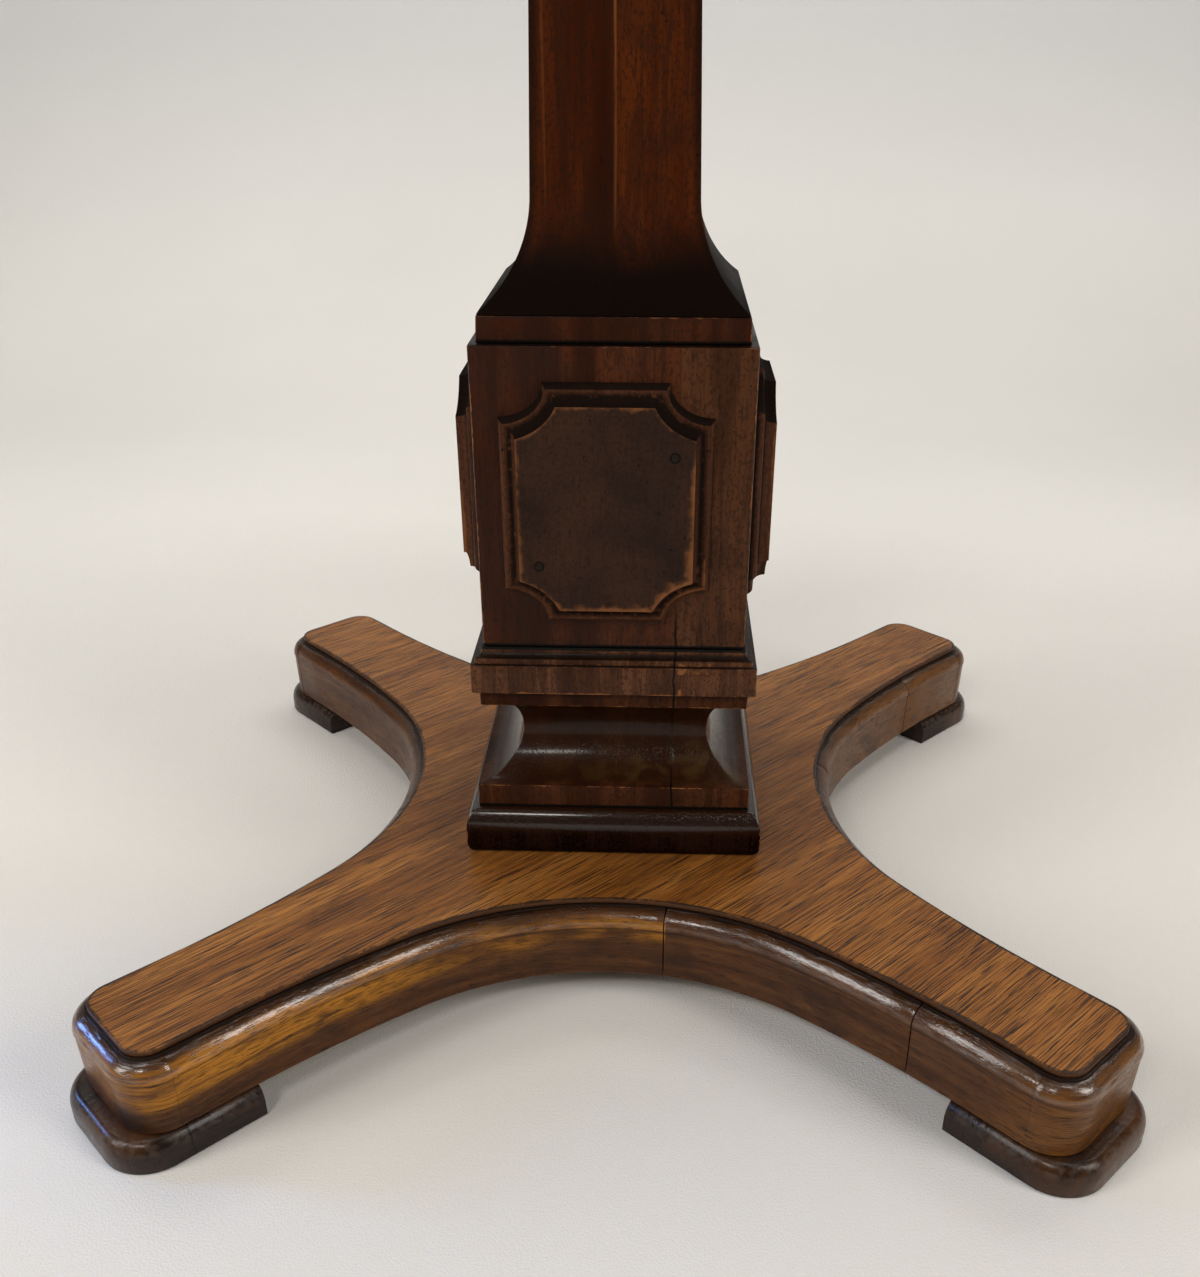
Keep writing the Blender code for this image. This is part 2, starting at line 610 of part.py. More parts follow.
def build_bearer(top_core):
    """The capital and the bearer board under the top, on the shaft's tenon, and the bearer's screws."""
    cove_base = CAPITAL_FOOT_HEIGHT
    cove_top = cove_base + CAPITAL_RADIUS
    cove = arc((CAPITAL_HALF, cove_base), (CAPITAL_RADIUS, CAPITAL_RADIUS), pi, pi / 2, ARC_STEPS)
    profile = [(CAPITAL_FOOT_HALF, 0)] + cove + [(CAPITAL_HALF, cove_top + CAPITAL_TOP_HEIGHT)]
    capital = place("capital_block", square_loft(profile, CAPITAL_BASE), "column_mahogany")
    edge = [(BEARER_HALF - BEARER_CHAMFER, 0), (BEARER_HALF, BEARER_CHAMFER), (BEARER_HALF, BEARER_THICKNESS)]
    bearer = place("bearer_board", square_loft(edge, BEARER_BASE), "column_mahogany")
    room = TENON_HALF + GAP
    slack = CAPITAL_HEIGHT / 2
    mortise = [(room, CAPITAL_BASE - slack), (room, TOP_BASE + slack)]
    mortise_cutter = place("mortise", square_loft(mortise, 0), "core_pine")
    cut(capital, mortise_cutter)
    cut(bearer, mortise_cutter)
    corners = (("front_right", 1, -1), ("back_right", 1, 1), ("back_left", -1, 1), ("front_left", -1, -1))
    for where, x, y in corners:
        spot = (x * TOP_SCREW_SIDE, y * TOP_SCREW_SIDE)
        low, high = BEARER_BASE + SCREW_SINK, TOP_BASE + TOP_SCREW_BITE
        screw(f"top_screw_{where}", *spot, low, high, [bearer, top_core])


clear_scene()
platform_core, platform_veneer = build_platform()
build_platform_edge()
foot_pads = build_feet()
column = build_column_blocks()
shaft_halves = build_shaft()
build_pins(column["die_block"], build_panels())
build_dowel([platform_core, platform_veneer, *column.values()], shaft_halves)
screwed = [platform_veneer, column["torus_base"], column["scotia_block"]]
build_base_screws(platform_core, foot_pads, screwed)
build_bearer(build_top())
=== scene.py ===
from math import cos, pi, radians, sin, sqrt

import bpy
from mathutils import Matrix, Vector


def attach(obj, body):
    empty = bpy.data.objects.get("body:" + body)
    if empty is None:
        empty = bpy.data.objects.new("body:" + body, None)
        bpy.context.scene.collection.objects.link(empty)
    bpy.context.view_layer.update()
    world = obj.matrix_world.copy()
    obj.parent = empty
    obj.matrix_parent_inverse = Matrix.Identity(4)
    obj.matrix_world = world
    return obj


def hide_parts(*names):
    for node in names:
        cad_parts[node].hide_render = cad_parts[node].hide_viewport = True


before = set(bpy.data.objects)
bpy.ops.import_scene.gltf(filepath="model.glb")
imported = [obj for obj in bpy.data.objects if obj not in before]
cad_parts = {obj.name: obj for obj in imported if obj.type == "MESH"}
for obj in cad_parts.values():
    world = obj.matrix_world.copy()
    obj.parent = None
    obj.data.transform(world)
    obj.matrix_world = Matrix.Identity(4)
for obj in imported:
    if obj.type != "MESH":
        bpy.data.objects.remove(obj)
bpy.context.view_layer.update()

# Studio cloth: one wide pale sheet, laid flat under the table and swept up behind it in a slow curve.
# It is plain woven cotton, smooth, with a faint weave, a slightly uneven tone and painted shade greying it
# upwards.
cloth_size, cloth_back, cloth_rise, cloth_curve = 7.0, 1.8, 3.2, 0.9


def lay_plane(name, size, place):
    """A new flat square sheet at a place, with nothing else selected."""
    bpy.ops.object.select_all(action="DESELECT")
    bpy.ops.mesh.primitive_plane_add(size=size, location=place)
    sheet = bpy.context.object
    sheet.name = name
    bpy.ops.object.transform_apply(location=True)
    return sheet


def pick(piece, test):
    """In edit mode, selects the points whose place passes a test, and all that lies between them."""
    bpy.ops.object.mode_set(mode="OBJECT")
    mesh = piece.data
    mesh.polygons.foreach_set("select", [False] * len(mesh.polygons))
    mesh.edges.foreach_set("select", [False] * len(mesh.edges))
    mesh.vertices.foreach_set("select", [bool(test(point.co)) for point in mesh.vertices])
    bpy.ops.object.mode_set(mode="EDIT")
    bpy.ops.mesh.select_mode(type="VERT")


def push(way):
    """Draws out what is selected in a straight line."""
    bpy.ops.mesh.extrude_region_move(TRANSFORM_OT_translate={"value": way})


def finish(name, **values):
    """A new material with one shader: the material, its shader and the socket that gives a point's place."""
    material = bpy.data.materials.new(name)
    material.use_nodes = True
    shader = material.node_tree.nodes["Principled BSDF"]
    for key, value in values.items():
        shader.inputs[key.replace("_", " ")].default_value = value
    return material, shader, material.node_tree.nodes.new("ShaderNodeTexCoord").outputs["Object"]


def feed(socket, value):
    """Sets a socket to a number or colour, or links another socket to it."""
    if isinstance(value, bpy.types.NodeSocket):
        socket.id_data.links.new(value, socket)
    elif isinstance(value, tuple) and socket.type == "RGBA":
        socket.default_value = (*value, 1.0)
    else:
        socket.default_value = value


def node(beside, kind, feeds, **settings):
    """A new node in the same material as a socket, with its settings and what feeds it; gives its outputs."""
    made = beside.id_data.nodes.new("ShaderNode" + kind)
    for key, value in settings.items():
        setattr(made, key, value)
    for key, value in feeds.items():
        feed(made.inputs[key], value)
    return made.outputs


def axes(place):
    """The three measures of a place or a direction."""
    return node(place, "SeparateXYZ", {"Vector": place})


def cloud(place, scale, detail=3.0, warp=0.0):
    """Soft noise from 0 to 1, about scale patches to the metre."""
    return node(place, "TexNoise", {"Vector": place, "Scale": scale, "Detail": detail, "Distortion": warp})[0]


def fade(value, low, high):
    """A soft step from 0 at low to 1 at high, which may be the lower of the two."""
    feeds = {"Value": value, "From Min": low, "From Max": high}
    return node(value, "MapRange", feeds, interpolation_type="SMOOTHSTEP")[0]


def blend(amount, under, over):
    """One colour laid over another."""
    return node(amount, "Mix", {0: amount, 6: under, 7: over}, data_type="RGBA")[2]


def tones(value, *stops):
    """A scale of colours, from (place, colour) stops."""
    made = value.id_data.nodes.new("ShaderNodeValToRGB")
    feed(made.inputs[0], value)
    scale = made.color_ramp.elements
    scale[0].position, scale[1].position = stops[0][0], stops[-1][0]
    for place, _ in stops[1:-1]:
        scale.new(place)
    for stop, (_, colour) in zip(scale, stops):
        stop.color = (*colour, 1.0)
    return made.outputs[0]


def work_in(shader, colour, height, depth, rough=None):
    """Feeds a shader its colour, its roughness and its relief, which goes from 0 to a depth in metres."""
    raised = node(height, "Bump", {"Height": height, "Distance": depth, "Strength": 1.0})["Normal"]
    feed(shader.inputs["Base Color"], colour)
    feed(shader.inputs["Normal"], raised)
    feed(shader.inputs["Coat Normal"], raised)
    if rough is not None:
        feed(shader.inputs["Roughness"], rough)


studio_cloth = lay_plane("studio_cloth", cloth_size, (0.0, cloth_back - cloth_size / 2, 0.0))
pick(studio_cloth, lambda place: place.y > cloth_back - 0.1)
push((0.0, 0.0, cloth_rise))
pick(studio_cloth, lambda place: place.y > cloth_back - 0.1 and place.z < 0.1)
bpy.ops.mesh.bevel(offset=cloth_curve, segments=16, affect="EDGES")
bpy.ops.object.mode_set(mode="OBJECT")
bpy.ops.object.shade_smooth()
cotton, shader, place = finish("pale_cotton", Roughness=0.9)
colour = tones(cloud(place, 1.6, 5), (0.3, (0.71, 0.69, 0.65)), (0.7, (0.76, 0.74, 0.705)))
# Painted shade: the cloth is greyed with height, as if it hung farther from the light.
_, _, high = axes(place)
colour = blend(fade(high, 0.02, 0.5), colour, (0.60, 0.595, 0.585))
work_in(shader, colour, cloud(place, 900, 2), 0.0004)
studio_cloth.data.materials.append(cotton)

# Studio light and camera: a long soft light hangs over the table, smaller ones stand in front of it, a small
# cool one at the left is like a window, and one lights the cloth behind. The camera looks down on the base
# from the front.


def hang_light(name, place, aim, width, height, power, colour, spread=pi):
    """A soft flat light at a place, aimed at a point."""
    bpy.ops.object.light_add(type="AREA", location=place)
    lamp = bpy.context.object
    lamp.name = name
    lamp.rotation_euler = (Vector(aim) - Vector(place)).to_track_quat("-Z", "Y").to_euler()
    lamp.data.shape = "RECTANGLE"
    lamp.data.size, lamp.data.size_y = width, height
    lamp.data.energy = power
    lamp.data.color = colour
    lamp.data.spread = spread


hang_light("overhead_light", (0.0, -0.30, 2.6), (0.0, -0.30, 0.0), 2.4, 0.5, 18.0, (1.0, 0.98, 0.95))
hang_light("left_light", (-1.5, -0.9, 1.1), (0.1, -0.2, 0.05), 0.6, 1.2, 16.0, (1.0, 0.98, 0.95))
hang_light("right_light", (1.5, -0.9, 1.1), (-0.1, -0.2, 0.05), 0.6, 1.2, 17.0, (1.0, 0.97, 0.93))
hang_light("front_light", (-0.66, -1.62, 1.75), (0.0, -0.1, 0.1), 0.6, 0.3, 10.0, (1.0, 0.97, 0.92))
hang_light("window_light", (-0.71, -0.12, 0.25), (-0.21, -0.21, 0.05), 0.10, 0.20, 0.07, (0.20, 0.40, 1.0),
           spread=radians(36))
hang_light("cloth_light", (0.0, 0.95, 1.9), (0.0, 0.95, 0.0), 3.0, 0.7, 22.0, (1.0, 0.98, 0.95))
air = bpy.data.worlds.new("studio_air")
bpy.context.scene.world = air
air.use_nodes = True
air.node_tree.nodes["Background"].inputs["Color"].default_value = (1.0, 0.985, 0.96, 1.0)
air.node_tree.nodes["Background"].inputs["Strength"].default_value = 0.08
bpy.context.scene.view_settings.view_transform = "Standard"

bpy.ops.object.camera_add()
camera = bpy.context.object
camera.name = "photo_camera"
camera.data.lens = 36.0696
camera.data.sensor_width = 36.0
camera.data.shift_x, camera.data.shift_y = -0.01869, 0.08735
camera.data.clip_start = 0.02
camera_turn, camera_dip, camera_roll = radians(-1.605), radians(29.519), radians(0.16)
camera_place = (0.02041, -0.61089, 0.42178)
camera.matrix_world = (Matrix.Translation(camera_place) @ Matrix.Rotation(-camera_turn, 4, "Z")
                       @ Matrix.Rotation(pi / 2 - camera_dip, 4, "X") @ Matrix.Rotation(camera_roll, 4, "Z"))
bpy.context.scene.camera = camera

# Cores, dowel and screws: the pine boards inside the platform and the top, the turned beech dowel up the
# column's middle, and the steel wood screws. They keep the solids' shapes, in bare wood and dull steel.


def refinish(names, material):
    """Gives the solids of these names a new finish."""
    for name in names:
        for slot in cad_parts[name].material_slots:
            slot.material = material


def along(place, stretch, turn=0.0):
    """The place turned about the upright axis, then stretched, so that noise runs along a grain."""
    if turn:
        place = node(place, "Mapping", {"Vector": place, "Rotation": Vector((0, 0, turn))})[0]
    return node(place, "Mapping", {"Vector": place, "Scale": Vector(stretch)})[0]


def calc(operation, *values):
    """One sum on sockets and numbers, the first of them a socket."""
    return node(values[0], "Math", dict(enumerate(values)), operation=operation)[0]


def times(one, two):
    """A product."""
    return calc("MULTIPLY", one, two)


def tint(colour, pattern, low, high, share, shade):
    """Lays a shade thinly over a colour, where a pattern goes from low to high."""
    return blend(times(fade(pattern, low, high), share), colour, shade)


def bare_wood(name, pale, dark, stretch, rings):
    """Unpolished wood with soft growth rings and fine fibres."""
    material, shader, place = finish(name, Roughness=0.78)
    grain = along(place, stretch)
    fibre = cloud(grain, rings * 14, 4)
    colour = tones(cloud(grain, rings, 3, 1.2), (0.38, pale), (0.52, dark), (0.60, pale))
    work_in(shader, tint(colour, fibre, 0.45, 0.75, 0.45, dark), fibre, 0.0003)
    return material


arm_names = ("front_right", "back_right", "back_left", "front_left")
pine = bare_wood("bare_pine", (0.50, 0.35, 0.18), (0.30, 0.17, 0.07), (0.06, 1.0, 1.0), 34)
beech = bare_wood("turned_beech", (0.52, 0.35, 0.20), (0.40, 0.24, 0.13), (1.0, 1.0, 0.1), 120)
steel, shader, place = finish("dull_screw_steel", Metallic=1.0)
tarnish = cloud(place, 700, 4)
colour = tones(tarnish, (0.35, (0.09, 0.07, 0.055)), (0.62, (0.34, 0.33, 0.31)))
work_in(shader, colour, tarnish, 0.0002, fade(tarnish, 1.1, 0.2))
refinish(("platform_core", "top_core"), pine)
refinish(("centre_dowel",), beech)
refinish([kind + arm for kind in ("foot_screw_", "top_screw_") for arm in arm_names], steel)
refinish(("column_screw_left", "column_screw_right"), steel)

# Platform veneer: one sheet of brown mahogany laid over the core, with its grain along one diagonal.
# It is sawn to the four-armed plan, stands a hair over the lipping, and its arris is dark and worn.
reach, arm_half, arm_corner = 0.295, 0.027, 0.012
waist, ease_angle, ease_radius = 0.1107, radians(36), 0.600
platform_top, veneer_thick = 0.056, 0.0025
ease_turn = cos(ease_angle) + sin(ease_angle)
bay_radius = (waist - sqrt(2) * arm_half - ease_radius * (sqrt(2) - ease_turn)) / (ease_turn - 1)
bay_centre = Vector((0.0, -waist - bay_radius, 0.0))
ease_shift = (bay_radius - ease_radius) * Vector((sin(ease_angle), cos(ease_angle), 0.0))
arm_way, arm_side = Vector((1, -1, 0)).normalized(), Vector((-1, -1, 0)).normalized()


def bay_edge(turn):
    """A place on the front bay's edge and the way it faces, by the edge's turn from the bay's middle."""
    facing = Vector((-sin(turn), -cos(turn), 0.0))
    if abs(turn) <= ease_angle:
        return bay_centre - bay_radius * facing, facing
    return ease_centre(turn) - ease_radius * facing, facing


def ease_centre(turn):
    """Middle of the slow arc on the side of the bay that the turn is on."""
    return bay_centre + Vector((ease_shift.x if turn > 0 else -ease_shift.x, ease_shift.y, 0.0))


def arm_corner_place(side):
    """Middle of the corner arc at the front right arm's end, on its front side (1) or its back side (-1)."""
    return arm_way * (reach - arm_corner) + arm_side * side * (arm_half - arm_corner)


def over_diagonal(place):
    """A place mirrored over the front right arm's middle line."""
    return Vector((-place.y, -place.x, place.z))


def start_point(name, place):
    """A new object that is a single point, left in edit mode to be drawn out."""
    bpy.ops.object.select_all(action="DESELECT")
    bpy.ops.mesh.primitive_plane_add(size=0.001)
    piece = bpy.context.object
    piece.name = name
    bpy.ops.object.mode_set(mode="EDIT")
    bpy.ops.mesh.select_mode(type="VERT")
    bpy.ops.mesh.merge(type="CENTER")
    bpy.ops.transform.translate(value=place)
    return piece


def swing(centre, angle, steps):
    """Draws out what is selected round an upright axis, clockwise from above."""
    bpy.ops.mesh.spin(steps=steps, angle=angle, center=centre, axis=(0.0, 0.0, 1.0))


def close_up(piece):
    """Merges doubles, turns the faces outwards and goes back to object mode."""
    bpy.ops.mesh.select_all(action="SELECT")
    bpy.ops.mesh.remove_doubles(threshold=1e-6)
    bpy.ops.mesh.normals_make_consistent(inside=False)
    bpy.ops.object.mode_set(mode="OBJECT")
    return piece


def soften(piece, width, angle=35.0):
    """A small bevel on the arrises of a piece, applied, with smooth faces between them."""
    bpy.ops.object.select_all(action="DESELECT")
    piece.select_set(True)
    bpy.context.view_layer.objects.active = piece
    bevel = piece.modifiers.new("worn_arris", "BEVEL")
    bevel.width, bevel.segments = width, 2
    bevel.limit_method, bevel.angle_limit = "ANGLE", radians(angle)
    bpy.ops.object.modifier_apply(modifier=bevel.name)
    bpy.ops.object.shade_smooth_by_angle(angle=radians(angle))


def dress(piece, material, slot, *nodes):
    """Finish, body and replaced solids of a finished piece; its slot is not used."""
    piece.data.materials.clear()
    piece.data.materials.append(material)
    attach(piece, "root")
    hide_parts(*nodes)


def ring_in(piece, width, rings, value):
    """Insets the selected face and notes its new points as lying that near to the edge."""
    bpy.ops.mesh.inset(thickness=width)
    bpy.ops.object.mode_set(mode="OBJECT")
    rings.update({point.index: value for point in piece.data.vertices if point.select})
    bpy.ops.object.mode_set(mode="EDIT")


def finish_sheet(sheet, top, material, sheet_node):
    """Closes a veneer sheet, notes how near each point is to its edge, 1 being on it, and dresses it."""
    rings = {}
    pick(sheet, lambda place: place.z > top - 1e-5)
    ring_in(sheet, 0.0010, rings, 0.55)
    ring_in(sheet, 0.0035, rings, 0.0)
    close_up(sheet)
    near = sheet.data.attributes.new("near_edge", "FLOAT", "POINT")
    near.data.foreach_set("value", [rings.get(index, 1.0) for index in range(len(sheet.data.vertices))])
    soften(sheet, 0.0005, 60.0)
    dress(sheet, material, "veneer_mahogany", sheet_node)


def plus(one, two):
    """A sum."""
    return calc("ADD", one, two)


def minus(one, two):
    """A difference."""
    return calc("SUBTRACT", one, two)


def grey(level):
    """A colour without a hue."""
    return (level,) * 3


def veneer_polish(name, turn):
    """Orange-brown mahogany veneer with dense thin dark streaks along its grain, under worn satin polish and
    a painted shadow.
    """
    material, shader, place = finish(name, Specular_IOR_Level=0.2)
    figure = cloud(along(place, (0.05, 1.0, 1.0), turn), 70, 5, 0.4)
    fibre = cloud(along(place, (0.020, 1.0, 1.0), turn), 1700, 3)
    streak = cloud(along(place, (0.022, 1.0, 1.0), turn), 520, 3, 0.1)
    pore = cloud(along(place, (0.021, 1.0, 1.0), turn), 2400, 1, 0.1)
    long_pore = cloud(along(place, (0.010, 1.0, 1.0), turn), 2000, 1, 0.1)
    haze = cloud(place, 17, 5, 0.6)
    smudge = cloud(along(place, (0.45, 1.0, 1.0), turn), 48, 4, 0.8)
    colour = tones(figure, (0.30, (0.20, 0.065, 0.0095)), (0.48, (0.33, 0.121, 0.0200)),
                   (0.68, (0.45, 0.182, 0.0360)))
    colour = tint(colour, fibre, 0.44, 0.72, 0.5, (0.13, 0.040, 0.009))
    colour = tint(colour, streak, 0.54, 0.66, 0.2, (0.075, 0.026, 0.008))
    colour = tint(colour, pore, 0.585, 0.605, 0.90, (0.022, 0.009, 0.005))
    colour = tint(colour, long_pore, 0.590, 0.610, 0.90, (0.022, 0.009, 0.005))
    colour = tint(colour, haze, 0.50, 0.72, 0.30, (0.13, 0.044, 0.012))
    colour = tint(colour, smudge, 0.64, 0.76, 0.35, (0.035, 0.014, 0.007))
    # Painted shadow: the sheet darkens towards its middle, which on the platform stands for the shade under
    # the table top.
    middle = fade(node(place, "VectorMath", {0: place}, operation="LENGTH")["Value"], 0.17, 0.09)
    colour = blend(times(middle, 0.4), colour, (0.10, 0.030, 0.004))
    edge = node(place, "Attribute", {}, attribute_name="near_edge")["Fac"]
    # Wear and dust darken the sheet's edge in ragged patches.
    rag = plus(times(cloud(place, 42, 5, 0.6), 0.8), times(cloud(place, 460, 4, 0.5), 0.55))
    dust_and_shade = fade(plus(edge, rag), 1.42, 1.72)
    colour = blend(times(dust_and_shade, 0.9), colour, (0.018, 0.009, 0.006))
    _, _, up = axes(node(place, "NewGeometry", {})["Normal"])
    colour = tint(colour, up, 0.7, 0.3, 0.8, (0.085, 0.034, 0.013))
    rough = tones(plus(times(haze, 0.6), times(streak, 0.4)), (0.3, grey(0.27)), (0.7, grey(0.44)))
    height = minus(times(fibre, 0.5), fade(pore, 0.55, 0.62))
    work_in(shader, colour, minus(height, times(dust_and_shade, 1.5)), 0.00012, rough)
    return material


edge_turn = pi / 4 - ease_angle
place_45, _ = bay_edge(pi / 4)
corner_start = arm_corner_place(1) + arm_side * arm_corner
veneer = start_point("veneer_sheet", Vector((0.0, -waist, platform_top)))
swing(bay_centre, ease_angle, 26)
swing(ease_centre(1), edge_turn, 6)
push(corner_start - place_45)
swing(arm_corner_place(1), -pi / 2, 10)
push(arm_side * -2 * (arm_half - arm_corner))
swing(arm_corner_place(-1), -pi / 2, 10)
push(over_diagonal(place_45) - over_diagonal(corner_start))
swing(over_diagonal(ease_centre(1)), edge_turn, 6)
swing(over_diagonal(bay_centre), ease_angle, 26)
bpy.ops.mesh.select_all(action="SELECT")
for _ in range(3):
    bpy.ops.mesh.duplicate()
    bpy.ops.transform.rotate(value=pi / 2, orient_axis="Z", center_override=(0.0, 0.0, 0.0))
bpy.ops.mesh.select_all(action="SELECT")
bpy.ops.mesh.remove_doubles(threshold=1e-5)
bpy.ops.mesh.edge_face_add()
push((0.0, 0.0, -veneer_thick))
finish_sheet(veneer, platform_top, veneer_polish("platform_veneer_polish", -pi / 4), "platform_veneer")

# Edge lipping: solid mahogany strips glued round the platform, moulded with a quirk and an ovolo over a plain
# side. Each bay has three lengths and each arm's end a cap, butted together; the joints have opened a little.
strip_out, strip_in, strip_ledge, quirk_deep, strip_step = 0.0078, 0.0087, 0.001, 0.0008, 0.0004
ovolo_high, strip_foot, strip_chamfer, strip_arris, strip_low = 0.008, 0.0067, 0.0008, 0.00008, 0.016
joint_open, cap_open, glue_line = 0.0006, 0.00002, 0.0003


def quarter_turns(steps, first=0):
    """Even steps of angle through a quarter of a circle."""
    return [pi / 2 * step / steps for step in range(first, steps + 1)]


def lipping_section(ledge, bottom):
    """The strip's section as (out from the veneer's edge, height) points."""
    shoulder = ledge - quirk_deep
    swell = [(strip_ledge + (strip_out - strip_ledge) * sin(turn), shoulder - ovolo_high * (1 - cos(turn)))
             for turn in quarter_turns(12)]
    return ([(-strip_in, ledge), (strip_ledge, ledge)] + swell
            + [(strip_out - strip_step, shoulder - ovolo_high - strip_step),
               (strip_foot, bottom + strip_chamfer), (strip_foot - strip_chamfer, bottom),
               (-strip_in, bottom)])


def lipping(name, section, start, facing, moves, run=0.0):
    """A length of lipping, its section swept along the veneer's edge, and how far along the edge it ends."""
    points = [start + facing * out + Vector((0, 0, height)) for out, height in section]
    strip = start_point(name, points[0])
    for last, point in zip(points, points[1:]):
        push(point - last)
    bpy.ops.mesh.select_all(action="SELECT")
    bpy.ops.mesh.edge_face_add()
    stations = [(start, facing, run)]
    for centre, angle, steps, way in moves:
        if way is not None:
            push(way)
            run += way.length
            start = start + way
            stations.append((start, facing, run))
            continue
        swing(centre, angle, steps)
        step_turn = Matrix.Rotation(-angle / steps, 3, "Z")
        for _ in range(steps):
            run += abs(angle / steps) * (start - centre).length
            start, facing = centre + step_turn @ (start - centre), step_turn @ facing
            stations.append((start, facing, run))
    close_up(strip)
    lay_out(strip, section, stations)
    soften(strip, strip_arris, 40.0)
    return strip, run


def past_station(plan, station):
    """How far a place lies along the edge from a station on it."""
    start, facing, _ = station
    return abs((plan - start).dot(Vector((facing.y, -facing.x, 0.0))))


def nearest(points, one, two):
    """Which of some flat points is nearest to a place."""
    apart = [(point[0] - one) ** 2 + (point[1] - two) ** 2 for point in points]
    return apart.index(min(apart))


def lay_out(strip, section, stations):
    """Unrolls a strip in metres: along its length, and round its section from the quirk down."""
    round_run, total = [], -strip_in - strip_ledge
    for last, point in zip([section[0]] + section, section):
        total += sqrt((point[0] - last[0]) ** 2 + (point[1] - last[1]) ** 2)
        round_run.append(total)
    flat = []
    for point in strip.data.vertices:
        plan = Vector((point.co.x, point.co.y, 0.0))
        start, facing, run = min(stations, key=lambda station: past_station(plan, station))
        near = nearest(section, (plan - start).dot(facing), point.co.z)
        flat.append((run, round_run[near]))
    layer = strip.data.uv_layers.new(name="length_and_round")
    for loop in strip.data.loops:
        layer.data[loop.index].uv = flat[loop.vertex_index]


def sweep(centre, angle, steps):
    """One round stretch of a strip."""
    return centre, angle, steps, None


def stretch_by(way):
    """One straight stretch of a strip."""
    return None, 0.0, 1, way


def dress_round(piece, sides, piece_name, material, slot, node_name):
    """Copies a finished piece to the next three sides by quarter turns, and dresses all four."""
    copies = [piece]
    for turns, side in enumerate(sides[1:], 1):
        bpy.ops.object.select_all(action="DESELECT")
        piece.select_set(True)
        bpy.context.view_layer.objects.active = piece
        bpy.ops.object.duplicate()
        copy = bpy.context.object
        copy.name = piece_name % side
        copy.rotation_euler.z = turns * pi / 2
        bpy.ops.object.transform_apply(rotation=True)
        copies.append(copy)
    for side, copy in zip(sides, copies):
        dress(copy, material, slot, node_name % side)


def size_of(value):
    """A value without its sign."""
    return calc("ABSOLUTE", value)


def larger(one, two):
    """The larger of two values."""
    return calc("MAXIMUM", one, two)


